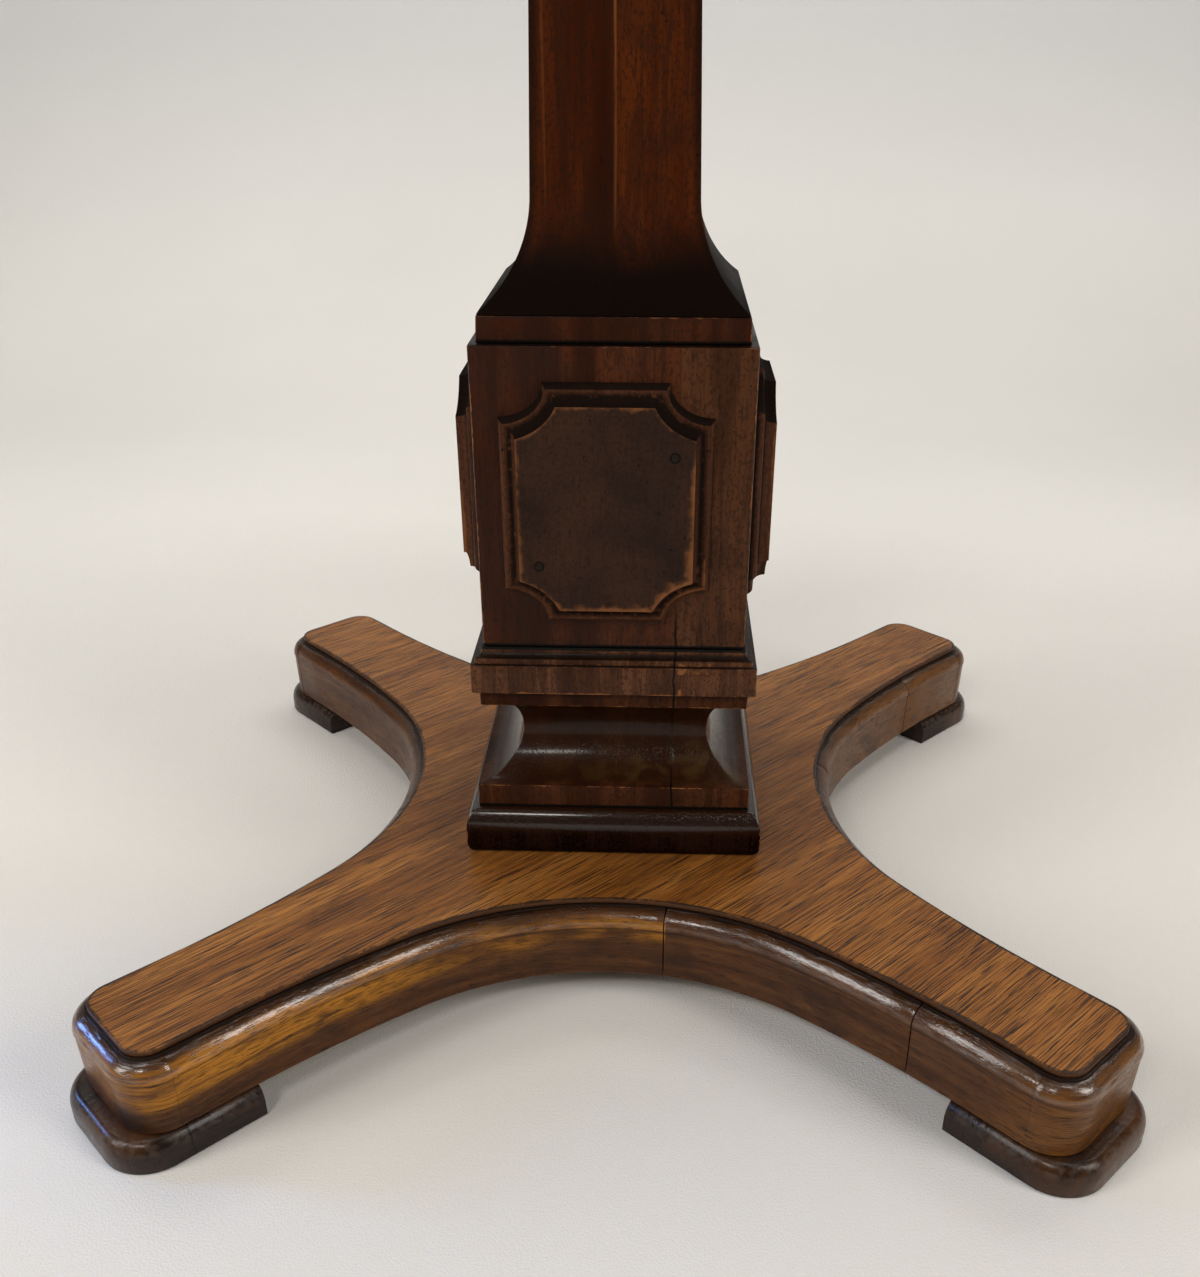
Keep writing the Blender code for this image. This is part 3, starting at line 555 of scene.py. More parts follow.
def lipping_polish(name):
    """Glossy old shellac on mahogany, painted shade and dust in and under the quirk, amber on the rubbed
    ovolo, stained in patches.
    """
    material, shader, place = finish(name, Specular_IOR_Level=0.12, Coat_Roughness=0.12, Coat_IOR=1.65)
    flat = node(place, "UVMap", {}, uv_map="length_and_round")[0]
    _, down, _ = axes(flat)
    across, deep, _ = axes(place)
    figure = cloud(along(flat, (0.07, 1.0, 1.0)), 170, 4, 0.4)
    fibre = cloud(along(flat, (0.06, 1.0, 1.0)), 1300, 3)
    pore = cloud(along(flat, (0.07, 1.0, 1.0)), 1800, 2)
    patch = cloud(place, 19, 4, 0.5)
    stain = cloud(along(flat, (0.6, 1.0, 1.0)), 46, 4, 0.6)
    blotch = cloud(along(flat, (0.12, 1.0, 1.0)), 240, 5, 0.5)
    fleck = cloud(along(flat, (0.30, 1.0, 1.0)), 330, 4, 0.8)
    crackle = cloud(along(flat, (0.75, 1.0, 1.0)), 1250, 3, 0.3)
    ovolo = fade(down, 0.0128, 0.0100)
    colour = tones(figure, (0.32, (0.052, 0.0172, 0.0050)), (0.50, (0.088, 0.0310, 0.0083)),
                   (0.70, (0.135, 0.0510, 0.0135)))
    warm = minus(times(patch, 1.2), times(across, 1.4))
    lower = plus(down, times(across, 0.045))
    belt = times(fade(down, 0.0035, 0.0085), fade(lower, 0.0235, 0.0160))
    amber = times(fade(warm, 0.42, 0.82), fade(deep, 0.0, -0.09))
    joint_across, step_down = 0.0267, 0.0131
    amber = times(amber, fade(across, joint_across + 0.0005, joint_across - 0.0005))
    amber = times(times(amber, belt), fade(blotch, 0.74, 0.44))
    dull_end = times(fade(plus(across, deep), -0.404, -0.428), -0.6)
    amber = times(amber, plus(dull_end, 1.0))
    colour = blend(amber, colour, (0.47, 0.185, 0.0150))
    far = fade(minus(across, deep), 0.36, 0.42)
    far = times(far, fade(blotch, 0.74, 0.44))
    colour = blend(times(far, 0.55), colour, (0.24, 0.095, 0.0190))
    sunned = fade(plus(across, deep), 0.10, 0.24)
    colour = blend(times(sunned, 0.55), colour, (0.21, 0.092, 0.0300))
    ragged = plus(down, times(minus(fleck, stain), 0.0045))
    # Painted shade with some dust: the ovolo's upper shoulder under the quirk is darkened, where it faces up
    # under the table top.
    colour = tint(colour, ragged, 0.0072, 0.0024, 0.6, (0.016, 0.007, 0.004))
    colour = tint(colour, fibre, 0.46, 0.74, 0.5, (0.034, 0.012, 0.004))
    colour = tint(colour, pore, 0.57, 0.63, 0.75, (0.016, 0.007, 0.004))
    colour = tint(colour, fleck, 0.61, 0.70, 0.4, (0.018, 0.008, 0.004))
    colour = tint(colour, stain, 0.54, 0.68, 0.5, (0.026, 0.010, 0.005))
    for spot, wide in (((-0.198, -0.228, 0.022), 0.020), ((0.180, -0.219, 0.027), 0.013)):
        off = node(place, "VectorMath", {0: place, 1: Vector(spot)}, operation="DISTANCE")["Value"]
        off = plus(off, times(blotch, 0.012))
        colour = tint(colour, off, wide, wide * 0.5, 0.8, (0.012, 0.006, 0.004))
    # Dust and painted shade: the quirk and the step under the ovolo are darkened nearly to black.
    quirk = fade(ragged, 0.0021, 0.0010)
    from_step = size_of(minus(down, step_down))
    quirk = larger(quirk, times(fade(from_step, 0.0010, 0.0003), 0.5))
    colour = blend(times(quirk, 0.9), colour, (0.012, 0.006, 0.004))
    rough = tones(plus(times(patch, 0.5), times(fleck, 0.5)), (0.35, grey(0.22)), (0.68, grey(0.42)))
    handled = times(ovolo, fade(fleck, 0.80, 0.45))
    handled = times(handled, fade(quirk, 0.9, 0.2))
    kept_gloss = plus(times(fade(deep, 0.03, -0.07), 0.75), 0.25)
    handled = times(handled, kept_gloss)
    feed(shader.inputs["Coat Weight"], plus(times(handled, 0.94), 0.06))
    crazed = times(crackle, plus(times(ovolo, 0.5), 0.4))
    height = minus(crazed, times(fade(pore, 0.55, 0.68), 0.6))
    work_in(shader, colour, plus(height, times(fleck, 0.6)), 0.00010, rough)
    return material


platform_section = lipping_section(platform_top - veneer_thick - glue_line, strip_low)
joints = (radians(10), radians(41.7))
half_open = joint_open / 2
in_way = Vector((1, 1, 0)).normalized()
left_start = Vector((-corner_start.x, corner_start.y, 0.0)) + in_way * cap_open
left_45, left_facing = bay_edge(-pi / 4)
first, first_facing = bay_edge(joints[0] + half_open / bay_radius)
second, second_facing = bay_edge(joints[1] + half_open / ease_radius)
edge_polish = lipping_polish("lipping_polish")
bay_names = ("front", "right", "back", "left")


def lay_bays(kind, start, facing, moves, run):
    """One length of lipping in each of the four bays; gives how far along the edge it ends."""
    strip, run = lipping("lipping_front_" + kind, platform_section, start, facing, moves, run)
    dress_round(strip, bay_names, "lipping_%s_" + kind, edge_polish, "edge_mahogany", "edge_strip_%s_" + kind)
    return run


run = lay_bays("short", second, second_facing, [
    sweep(ease_centre(1), pi / 4 - joints[1] - half_open / ease_radius, 2),
    stretch_by(corner_start - arm_way * cap_open - place_45)], 0.0)
cap, run = lipping("lipping_cap_front_right", platform_section, corner_start + arm_way * cap_open, arm_side, [
    sweep(arm_corner_place(1), -pi / 2, 10), stretch_by(arm_side * -2 * (arm_half - arm_corner)),
    sweep(arm_corner_place(-1), 2 * cap_open / arm_corner - pi / 2, 10)], run)
dress_round(cap, arm_names, "lipping_cap_%s", edge_polish, "edge_mahogany", "edge_cap_%s")
run = lay_bays("long", left_start, left_facing, [
    stretch_by(left_45 - left_start), sweep(ease_centre(-1), edge_turn, 6),
    sweep(bay_centre, ease_angle + joints[0] - half_open / bay_radius, 30)], run)
lay_bays("middle", first, first_facing, [
    sweep(bay_centre, ease_angle - joints[0] - half_open / bay_radius, 16),
    sweep(ease_centre(1), joints[1] - ease_angle - half_open / ease_radius, 4)], run)

# Pad feet: four blocks of dark stained mahogany under the arm ends, square on their inner ends and rounded
# at the toe. Each has a rounded top edge, rubbed grey with a painted sheen, and is held by a screw from
# below.
foot_outer, foot_length, foot_half, foot_corner = 0.3115, 0.0645, 0.0365, 0.022
foot_top, foot_round, foot_round_high, foot_chamfer = 0.0157, 0.0050, 0.0085, 0.0008
foot_inner = foot_outer - foot_length


def foot_polish(name):
    """Very dark stain, browner at the toe, rubbed grey with a painted sheen along the round of the top edge.
    """
    material, shader, place = finish(name, Specular_IOR_Level=0.25, Coat_Weight=0.12, Coat_Roughness=0.14)
    across, deep, high = axes(place)
    grain = cloud(along(place, (0.10, 1.0, 1.0), -pi / 4), 500, 4, 0.3)
    scuff = cloud(place, 300, 6, 0.4)
    patch = cloud(place, 34, 4, 0.4)
    colour = tones(grain, (0.36, (0.011, 0.0050, 0.0028)), (0.52, (0.019, 0.0085, 0.0044)),
                   (0.70, (0.033, 0.0150, 0.0074)))
    toe = plus(size_of(across), size_of(deep))
    toe = plus(times(toe, 2.4), times(across, 0.3))
    warm = fade(plus(patch, toe), 1.38, 1.72)
    colour = blend(times(warm, 0.65), colour, (0.105, 0.039, 0.010))
    # Rubbed wear and a painted grey sheen along the round of the top edge.
    round_rub_and_sheen = times(fade(high, 0.0085, 0.0115), fade(high, foot_top, foot_top - 0.0014))
    round_rub_and_sheen = times(round_rub_and_sheen, fade(scuff, 0.42, 0.64))
    colour = blend(times(round_rub_and_sheen, 0.32), colour, (0.100, 0.074, 0.055))
    # Painted shade: the lowest two millimetres, where the foot meets the cloth, are darkened nearly to black.
    colour = blend(fade(high, 0.0022, 0.0004), colour, (0.008, 0.005, 0.004))
    out = times(plus(across, deep), -sqrt(0.5))
    split_out = 0.2785
    waver = plus(times(cloud(place, 160, 4), 0.006), split_out)
    split = fade(size_of(minus(out, waver)), 0.0005, 0.0002)
    split = times(split, fade(minus(across, deep), 0.010, 0.020))
    colour = blend(split, colour, (0.003, 0.002, 0.002))
    rough = tones(scuff, (0.35, grey(0.24)), (0.65, grey(0.38)))
    height = plus(grain, times(scuff, 0.8))
    work_in(shader, colour, minus(height, times(split, 4.0)), 0.00014, rough)
    return material


bpy.ops.object.select_all(action="DESELECT")
bpy.ops.mesh.primitive_plane_add(size=1.0, location=((foot_inner + foot_outer) / 2, 0.0, 0.0))
foot = bpy.context.object
foot.name = "pad_foot_front_right"
foot.scale = (foot_length, 2 * foot_half, 1.0)
bpy.ops.object.transform_apply(location=True, scale=True)
pick(foot, lambda place: place.x > foot_outer - 1e-4)
bpy.ops.mesh.bevel(offset=foot_corner, segments=12, affect="VERTICES")
bpy.ops.mesh.select_all(action="SELECT")
foot_levels = [(0.0, foot_chamfer), (foot_chamfer, 0.0), (foot_top - foot_round_high, 0.0)]
foot_levels += [(foot_top - foot_round_high * (1 - sin(turn)), foot_round * (1 - cos(turn)))
                for turn in quarter_turns(8, 1)]
last_high, last_in = 0.0, 0.0
for high, inset in foot_levels:
    if high > last_high:
        push((0.0, 0.0, high - last_high))
    grow = ((foot_length - inset) / (foot_length - last_in), (foot_half - inset) / (foot_half - last_in), 1.0)
    bpy.ops.transform.resize(value=grow, center_override=(foot_inner, 0.0, high))
    last_high, last_in = high, inset
close_up(foot)
foot.rotation_euler.z = -pi / 4
bpy.ops.object.transform_apply(rotation=True)
soften(foot, width=0.0006)
dress_round(foot, arm_names, "pad_foot_%s", foot_polish("foot_polish"), "foot_mahogany", "foot_%s")

# Column base: a bullnosed torus, a block with a deep scotia between fillets, and a plinth with a plain fascia
# and a small stepped moulding. They are solid mahogany, stacked on the centre dowel and glued.


def round_over(profile, radius):
    """Rounds the corners of a (height, half width) profile where it turns sharply."""
    made = [profile[0]]
    for before, point, after in zip(profile, profile[1:], profile[2:]):
        to, fro = Vector(before) - Vector(point), Vector(after) - Vector(point)
        if to.angle(fro) > radians(152):
            made.append(point)
            continue
        near, far = [Vector(point) + arm.normalized() * min(radius, arm.length * 0.42) for arm in (to, fro)]
        made += [tuple(near), tuple((near + far) * 0.25 + Vector(point) * 0.5), tuple(far)]
    return made + [profile[-1]]


def quarter(start, end, bulge, steps):
    """A quarter oval between two (height, half width) points, starting upwards, or outwards if bulge is 0."""
    made = []
    for turn in quarter_turns(steps, 1):
        up, out = (sin(turn), 1 - cos(turn)) if bulge else (1 - cos(turn), sin(turn))
        made.append((start[0] + (end[0] - start[0]) * up, start[1] + (end[1] - start[1]) * out))
    return made


def square_block(name, profile, arris):
    """A square block drawn up level by level from its foot, with worn upright corners."""
    block = lay_plane(name, 2 * profile[0][1], (0.0, 0.0, profile[0][0]))
    bpy.ops.object.mode_set(mode="EDIT")
    for (low, wide), (high, next_wide) in zip(profile, profile[1:]):
        push((0.0, 0.0, high - low))
        grow = next_wide / wide
        bpy.ops.transform.resize(value=(grow, grow, 1.0), center_override=(0.0, 0.0, high))
    close_up(block)
    wear_corners(block, arris)
    return block


def wear_corners(block, arris):
    """Takes the sharpness off the upright corners."""
    bpy.ops.object.mode_set(mode="EDIT")
    bpy.ops.mesh.select_mode(type="EDGE")
    bpy.ops.mesh.select_all(action="DESELECT")
    bpy.ops.object.mode_set(mode="OBJECT")
    points = block.data.vertices
    for edge in block.data.edges:
        one, two = (points[index].co for index in edge.vertices)
        level = abs(one.z - two.z) < 1e-7 and (abs(one.x - two.x) < 1e-7 or abs(one.y - two.y) < 1e-7)
        edge.select = not level
    bpy.ops.object.mode_set(mode="EDIT")
    bpy.ops.mesh.bevel(offset=arris, segments=2, affect="EDGES")
    close_up(block)
    bpy.ops.object.shade_smooth_by_angle(angle=radians(30))


def column_polish(name, arrises, tone, gloss=0.15, rough=(0.28, 0.48), dust_and_shade=0.9, grit=0.00012,
                  seams=(), split=None, soiled=(), shine=None, rim=0.0, bloom=None):
    """Dark red-brown mahogany under old polish, worn orange on the arrises, black in the joints, painted
    shade on upward faces.
    """
    fascia_middle, crack_head, seam_foot = 0.1514, 0.183, 0.355
    material, shader, place = finish(name, Specular_IOR_Level=gloss, Coat_Roughness=0.14)
    across, deep, high = axes(place)
    facing, _, up = axes(node(place, "NewGeometry", {})["Normal"])
    grain = along(place, (1.0, 1.0, 0.06))
    figure = cloud(grain, 40, 4, 0.6)
    fibre = cloud(grain, 900, 3)
    pore = cloud(grain, 1500, 2)
    streak = cloud(grain, 170, 5, 0.4)
    mottle = cloud(place, 30, 6, 0.4)
    craze = cloud(along(place, (1.0, 1.0, 0.7)), 720, 6, 0.5)
    speck = cloud(place, 430, 3)
    dark, body, light, pale = (tuple(part * share for part, share in zip(shade, tone)) for shade in
                               ((0.052, 0.0135, 0.0045), (0.086, 0.0235, 0.0080), (0.125, 0.0370, 0.0125),
                                (0.150, 0.0620, 0.0240)))
    colour = tones(figure, (0.40, dark), (0.50, body), (0.60, light))
    if split:
        joint, paler = split
        board = fade(minus(across, joint), -0.0004, 0.0004)
        colour = blend(times(board, paler), colour, pale)
    colour = tint(colour, fibre, 0.46, 0.74, 0.4, (0.024, 0.008, 0.004))
    colour = tint(colour, streak, 0.48, 0.60, 0.5, (0.018, 0.006, 0.003))
    colour = tint(colour, craze, 0.48, 0.64, 0.6, (0.020, 0.008, 0.004))
    colour = tint(colour, mottle, 0.48, 0.72, 0.5, (0.020, 0.008, 0.004))
    colour = tint(colour, pore, 0.62, 0.70, 0.5, (0.012, 0.005, 0.003))
    colour = blend(fade(speck, 0.70, 0.74), colour, (0.006, 0.004, 0.003))
    corner = size_of(minus(size_of(across), size_of(deep)))
    upright = fade(size_of(up), 0.95, 0.75)
    rub = fade(corner, 0.0022, 0.0)
    for level in arrises:
        near = size_of(minus(high, level))
        rub = larger(rub, fade(near, 0.0020, 0.0))
    if split:
        beside = size_of(minus(across, joint + 0.010))
        from_middle = size_of(minus(high, fascia_middle))
        frayed = times(fade(from_middle, 0.0005, 0.0045), fade(from_middle, 0.0105, 0.0085))
        frayed = times(frayed, fade(beside, 0.020, 0.006))
        rub = larger(rub, times(frayed, 0.95))
    chips = plus(cloud(place, 260, 6, 0.6), cloud(place, 60, 4))
    worn = fade(plus(rub, chips), 1.93, 2.10)
    worn = times(times(worn, upright), 0.8)
    colour = blend(times(worn, 1.0 - rim), colour, (0.25, 0.092, 0.030))
    if rim:
        colour = tint(colour, corner, 0.0050, 0.0010, rim, (0.010, 0.004, 0.002))
    for side, wide, glow in seams:
        line = fade(size_of(minus(across, side)), wide, 0.0)
        line = times(line, fade(cloud(grain, 260, 5, 0.5), 0.36, 0.62))
        line = times(line, fade(high, seam_foot - 0.02, seam_foot + 0.02))
        colour = blend(times(line, glow), colour, (0.33, 0.120, 0.036))
    # Painted shade with some dust: faces turned upwards go nearly black, as if shaded by the table top above.
    colour = tint(colour, up, 0.12, 0.62, dust_and_shade, (0.006, 0.003, 0.002))
    for level in soiled:
        near = minus(size_of(minus(high, level)), times(speck, 0.0012))
        colour = blend(fade(near, 0.0011, 0.0004), colour, (0.004, 0.003, 0.002))
    gleam = tones(mottle, (0.35, grey(rough[0])), (0.70, grey(rough[1])))
    height = minus(times(craze, 0.5), fade(pore, 0.56, 0.70))
    height = plus(height, times(speck, 0.3))
    height = minus(height, times(worn, 0.8))
    if split:
        waver = times(minus(cloud(place, 70, 4), 0.5), 0.0032)
        crack = size_of(minus(minus(across, joint), waver))
        crack = times(fade(crack, 0.0007, 0.0002), fade(deep, 0.0, -0.02))
        crack = times(crack, fade(high, crack_head + 0.007, crack_head - 0.007))
        colour = blend(crack, colour, (0.004, 0.003, 0.002))
        height = minus(height, times(crack, 4.0))
    if shine:
        low, top, soft, gleaming = shine
        lit = times(fade(high, low - soft, low + soft), fade(high, top + soft, top - soft))
        sides = fade(size_of(facing), 0.30, 0.60)
        coat = plus(times(sides, 1.0 - gleaming), gleaming)
        feed(shader.inputs["Coat Weight"], times(lit, coat))
        colour = blend(times(lit, 0.66), colour, (0.018, 0.0056, 0.0014))
    if bloom:
        dulled = times(fade(cloud(place, 70, 6, 0.6), 0.46, 0.64), fade(across, -0.06, 0.03))
        dulled = times(times(dulled, lit), fade(high, bloom[1], bloom[0]))
        colour = blend(times(dulled, 0.5), colour, (0.060, 0.034, 0.009))
    work_in(shader, colour, height, grit, blend(worn, gleam, grey(0.6)))
    return material


board_joint = 0.0290
torus_base, torus_foot, torus_half, torus_head = 0.0563, 0.0704, 0.0738, 0.0685
torus_round, torus_wide, torus_top = (torus_base + rise for rise in (0.0055, 0.0125, 0.0241))
torus_profile = [(torus_base, torus_foot)]
torus_profile += quarter((torus_base, torus_foot), (torus_round, torus_half), 0, 8)
torus_profile += [(torus_wide, torus_half)]
torus_profile += quarter((torus_wide, torus_half), (torus_top, torus_head), 1, 12)
torus = square_block("column_torus", torus_profile, arris=0.0008)
torus_finish = column_polish("torus_polish", [], (0.055, 0.042, 0.038), 0.03, (0.3, 0.45), 0.3, 0.00006,
                             shine=(torus_wide + 0.002, torus_top + 0.01, 0.004, 1.0))
dress(torus, torus_finish, "column_mahogany", "torus_base")

scotia_base, fillet_half, hollow_half, throat_half = 0.0807, 0.0674, 0.0670, 0.0460
lip_half, head_half = 0.0639, 0.0643
low_fillet, low_throat, high_throat, scotia_top = (scotia_base + rise for rise in
                                                   (0.0121, 0.0349, 0.0552, 0.0632))
scotia_profile = [(scotia_base, fillet_half), (low_fillet, fillet_half), (low_fillet, hollow_half)]
scotia_profile += quarter((low_fillet, hollow_half), (low_throat, throat_half), 0, 14)
scotia_profile += quarter((low_throat, throat_half), (high_throat, lip_half), 1, 14)
scotia_profile += [(high_throat, head_half), (scotia_top, head_half)]
scotia = square_block("column_scotia", round_over(scotia_profile, radius=0.0005), arris=0.0007)
scotia_finish = column_polish("scotia_polish", [low_fillet, high_throat], (0.56, 0.59, 0.61), 0.05,
                              (0.3, 0.45), 0.2, 0.00006, split=(board_joint, 0.1), soiled=[scotia_base],
                              shine=(low_fillet + 0.0005, high_throat - 0.0005, 0.0006, 0.30),
                              bloom=(low_fillet + 0.006, low_throat))
dress(scotia, scotia_finish, "column_mahogany", "scotia_block")

plinth_base, fascia_half, band_half, cove_half, plinth_half = 0.1442, 0.0678, 0.0658, 0.0652, 0.0625
fascia_top, band_top, cove_top, plinth_top = (plinth_base + rise for rise in (0.0145, 0.0173, 0.0205, 0.0218))
plinth_profile = [(plinth_base, fascia_half), (fascia_top, fascia_half)]
plinth_profile += [(fascia_top, band_half), (band_top, band_half)]
plinth_profile += quarter((band_top, cove_half), (cove_top, plinth_half), 0, 6) + [(plinth_top, plinth_half)]
plinth = square_block("column_plinth", round_over(plinth_profile, radius=0.0005), arris=0.0007)
plinth_finish = column_polish("plinth_polish", [plinth_base, fascia_top], (0.90, 1.18, 1.45), 0.12,
                              split=(board_joint, 0.0), soiled=[plinth_top])
dress(plinth, plinth_finish, "column_mahogany", "plinth_block")

# Die and neck: the square block of the column that carries the panels, and the low band set back on it.
# Both are solid mahogany with upright grain, their arrises rubbed to orange.
die_base, die_top, die_half = 0.1663, 0.3048, 0.0617
die_profile = [(die_base, die_half - 0.0006), (die_base, die_half)]
die_profile += [(die_top, die_half), (die_top, die_half - 0.002)]
die = square_block("column_die", round_over(die_profile, radius=0.0007), arris=0.0009)
die_finish = column_polish("die_polish", [die_top], (0.63, 0.61, 0.62), 0.10, split=(board_joint, 0.62),
                           soiled=[die_base])
dress(die, die_finish, "column_mahogany", "die_block")
neck_base, neck_top, neck_half, neck_top_half = 0.3051, 0.3161, 0.0584, 0.0579
neck_profile = [(neck_base, neck_half - 0.0006), (neck_base, neck_half)]
neck_profile += [(neck_top, neck_top_half), (neck_top, neck_top_half - 0.0014)]
neck = square_block("column_neck", round_over(neck_profile, radius=0.0006), arris=0.0008)
neck_finish = column_polish("neck_polish", [neck_top], (0.50, 0.43, 0.41), 0.07, soiled=[neck_base])
dress(neck, neck_finish, "column_mahogany", "neck_block")

# Panels: four boards with hollow corners, planted on the die a little left of its middle and pinned through.
# Each is worked with an ovolo, a flat step and a cove up to its field, whose edge is rubbed to orange.
panel_wide, panel_high, panel_aside, panel_middle = 0.0470, 0.0545, -0.003, 0.23555
notch_wide, notch_high, pin_aside, pin_up, pin_radius = 0.0195, 0.0150, 0.030, 0.025, 0.0020
panel_step, panel_thick, panel_ovolo, panel_flat, panel_cove = 0.0045, 0.0103, 0.0025, 0.0020, 0.0036


def panel_polish(name):
    """Near-black satin mahogany, brown mouldings, dust and painted shade in grooves and on upward faces,
    orange rub at the field.
    """
    material, shader, place = finish(name, Specular_IOR_Level=0.06)
    flat = node(place, "UVMap", {}, uv_map="face_of_panel")[0]
    aside, above, _ = axes(flat)
    _, _, up = axes(node(place, "NewGeometry", {})["Normal"])
    rub, field, groove = (node(place, "Attribute", {}, attribute_name=key)["Fac"]
                          for key in ("rubbed", "on_field", "grooved"))
    grain = along(place, (1.0, 1.0, 0.06))
    figure = cloud(grain, 60, 4, 0.5)
    fibre = cloud(grain, 900, 3)
    pore = cloud(grain, 1500, 2)
    mottle = cloud(place, 30, 6, 0.5)
    craze = cloud(place, 620, 6, 0.5)
    speck = cloud(place, 380, 3)
    field_tone = tones(mottle, (0.34, (0.044, 0.0200, 0.0110)), (0.50, (0.033, 0.0160, 0.0102)),
                       (0.66, (0.022, 0.0115, 0.0082)))
    edge_tone = tones(figure, (0.34, (0.048, 0.0155, 0.0070)), (0.52, (0.078, 0.0280, 0.0128)),
                      (0.70, (0.110, 0.0420, 0.0200)))
    colour = blend(field, edge_tone, field_tone)
    colour = tint(colour, fibre, 0.46, 0.74, 0.35, (0.016, 0.008, 0.005))
    colour = tint(colour, craze, 0.46, 0.66, 0.5, (0.014, 0.007, 0.005))
    colour = blend(fade(speck, 0.69, 0.73), colour, (0.005, 0.004, 0.003))
    chips = plus(times(cloud(place, 26, 3), 1.5), cloud(place, 190, 4, 0.5))
    lean = size_of(minus(times(above, 0.8), aside))
    lean = minus(lean, times(above, 0.5))
    chips = plus(chips, times(lean, 6.0))
    worn = times(fade(plus(rub, chips), 2.12, 2.70), 0.85)
    colour = blend(worn, colour, (0.21, 0.080, 0.028))
    # Dust and painted shade: the grooves, the line where the panel meets the die, and the upward faces go
    # nearly black.
    crevice_dust_and_shade = times(groove, fade(speck, 0.25, 0.45))
    crevice_dust_and_shade = larger(fade(up, 0.06, 0.30), crevice_dust_and_shade)
    colour = blend(times(crevice_dust_and_shade, 0.93), colour, (0.005, 0.003, 0.002))
    for side in (1, -1):
        pin_place = Vector((side * pin_aside, side * pin_up, 0.0))
        from_pin = node(place, "VectorMath", {0: flat, 1: pin_place}, operation="DISTANCE")["Value"]
        ring = fade(size_of(minus(from_pin, pin_radius)), 0.0006, 0.0002)
        colour = blend(times(ring, 0.9), colour, (0.004, 0.003, 0.002))
    gleam = tones(mottle, (0.35, grey(0.30)), (0.68, grey(0.46)))
    height = minus(times(craze, 0.5), fade(pore, 0.56, 0.70))
    work_in(shader, colour, plus(height, times(speck, 0.4)), 0.00012, blend(crevice_dust_and_shade, gleam, grey(0.9)))
    return material


def panel_outline(inset):
    """The panel's outline at one inset from its edge, clockwise from the top. Its corners are hollow arcs."""
    wide, high = notch_wide + inset, notch_high + inset
    start, end = wide * sqrt(1 - (inset / high) ** 2), inset
    hollow = []
    for turn in quarter_turns(12):
        aside = start + (end - start) * (1 - cos(turn))
        hollow.append((panel_wide - aside, panel_high - high * sqrt(max(0.0, 1 - (aside / wide) ** 2))))
    return (hollow + [(x, -y) for x, y in reversed(hollow)] + [(-x, -y) for x, y in hollow]
            + [(-x, y) for x, y in reversed(hollow)])


outline = panel_outline(0.0)
panel = start_point("raised_panel_front", Vector((outline[0][0], outline[0][1], 0.0)))
for last, point in zip(outline, outline[1:]):
    push((point[0] - last[0], point[1] - last[1], 0.0))
bpy.ops.mesh.select_all(action="SELECT")
bpy.ops.mesh.edge_face_add()
panel_rings = [(panel_ovolo * (1 - cos(turn)), panel_step * sin(turn)) for turn in quarter_turns(7)]
panel_rings += [(panel_ovolo + panel_flat, panel_step)]
panel_rings += [(panel_ovolo + panel_flat + panel_cove * sin(turn),
                 panel_step + (panel_thick - panel_step) * (1 - cos(turn)))
                for turn in quarter_turns(7, 1)]
field_edge = panel_rings[-1][0]
panel_rings += [(field_edge + inset, panel_thick) for inset in (0.0003, 0.0022, 0.0070)]
ring_marks, last_up = {}, 0.0
for index, (inset, ring_up) in enumerate(panel_rings[1:], 1):
    push((0.0, 0.0, ring_up - last_up))
    bpy.ops.object.mode_set(mode="OBJECT")
    ring = panel_outline(inset)
    for point in panel.data.vertices:
        if point.select:
            ring_marks[point.index] = index
            point.co.x, point.co.y = ring[nearest(outline, point.co.x, point.co.y)]
    bpy.ops.object.mode_set(mode="EDIT")
    outline, last_up = ring, ring_up
close_up(panel)
rub_of_ring = {6: 0.3, 7: 0.6, 8: 0.2, 14: 0.7, 15: 1.0, 16: 1.0, 17: 0.65, 18: 0.2}
field_of_ring = {15: 0.8, 16: 1.0, 17: 1.0, 18: 1.0}
groove_of_ring = {0: 1.0, 1: 1.0, 2: 0.7, 3: 0.2, 8: 0.9, 9: 1.0, 10: 0.8, 11: 0.3}
for key, marks in (("rubbed", rub_of_ring), ("on_field", field_of_ring), ("grooved", groove_of_ring)):
    layer = panel.data.attributes.new(key, "FLOAT", "POINT")
    values = [marks.get(ring_marks.get(point.index, 0), 0.0) for point in panel.data.vertices]
    layer.data.foreach_set("value", values)
layer = panel.data.uv_layers.new(name="face_of_panel")
for loop in panel.data.loops:
    layer.data[loop.index].uv = panel.data.vertices[loop.vertex_index].co.xy
bpy.ops.object.shade_smooth_by_angle(angle=radians(32))
panel.rotation_euler = (pi / 2, 0.0, 0.0)
panel.location = (panel_aside, -die_half - glue_line, panel_middle)
bpy.ops.object.transform_apply(location=True, rotation=True)
dress_round(panel, bay_names, "raised_panel_%s", panel_polish("panel_polish"), "panel_mahogany", "panel_%s")
peg, shader, place = finish("dark_peg_wood", Roughness=0.6, Specular_IOR_Level=0.1)
colour = tones(cloud(place, 1500, 3), (0.35, (0.006, 0.004, 0.003)), (0.65, (0.026, 0.014, 0.009)))
work_in(shader, colour, cloud(place, 1800, 2), 0.0002)
refinish(["pin_%s_%s" % (bay, level) for bay in bay_names for level in ("upper", "lower")], peg)

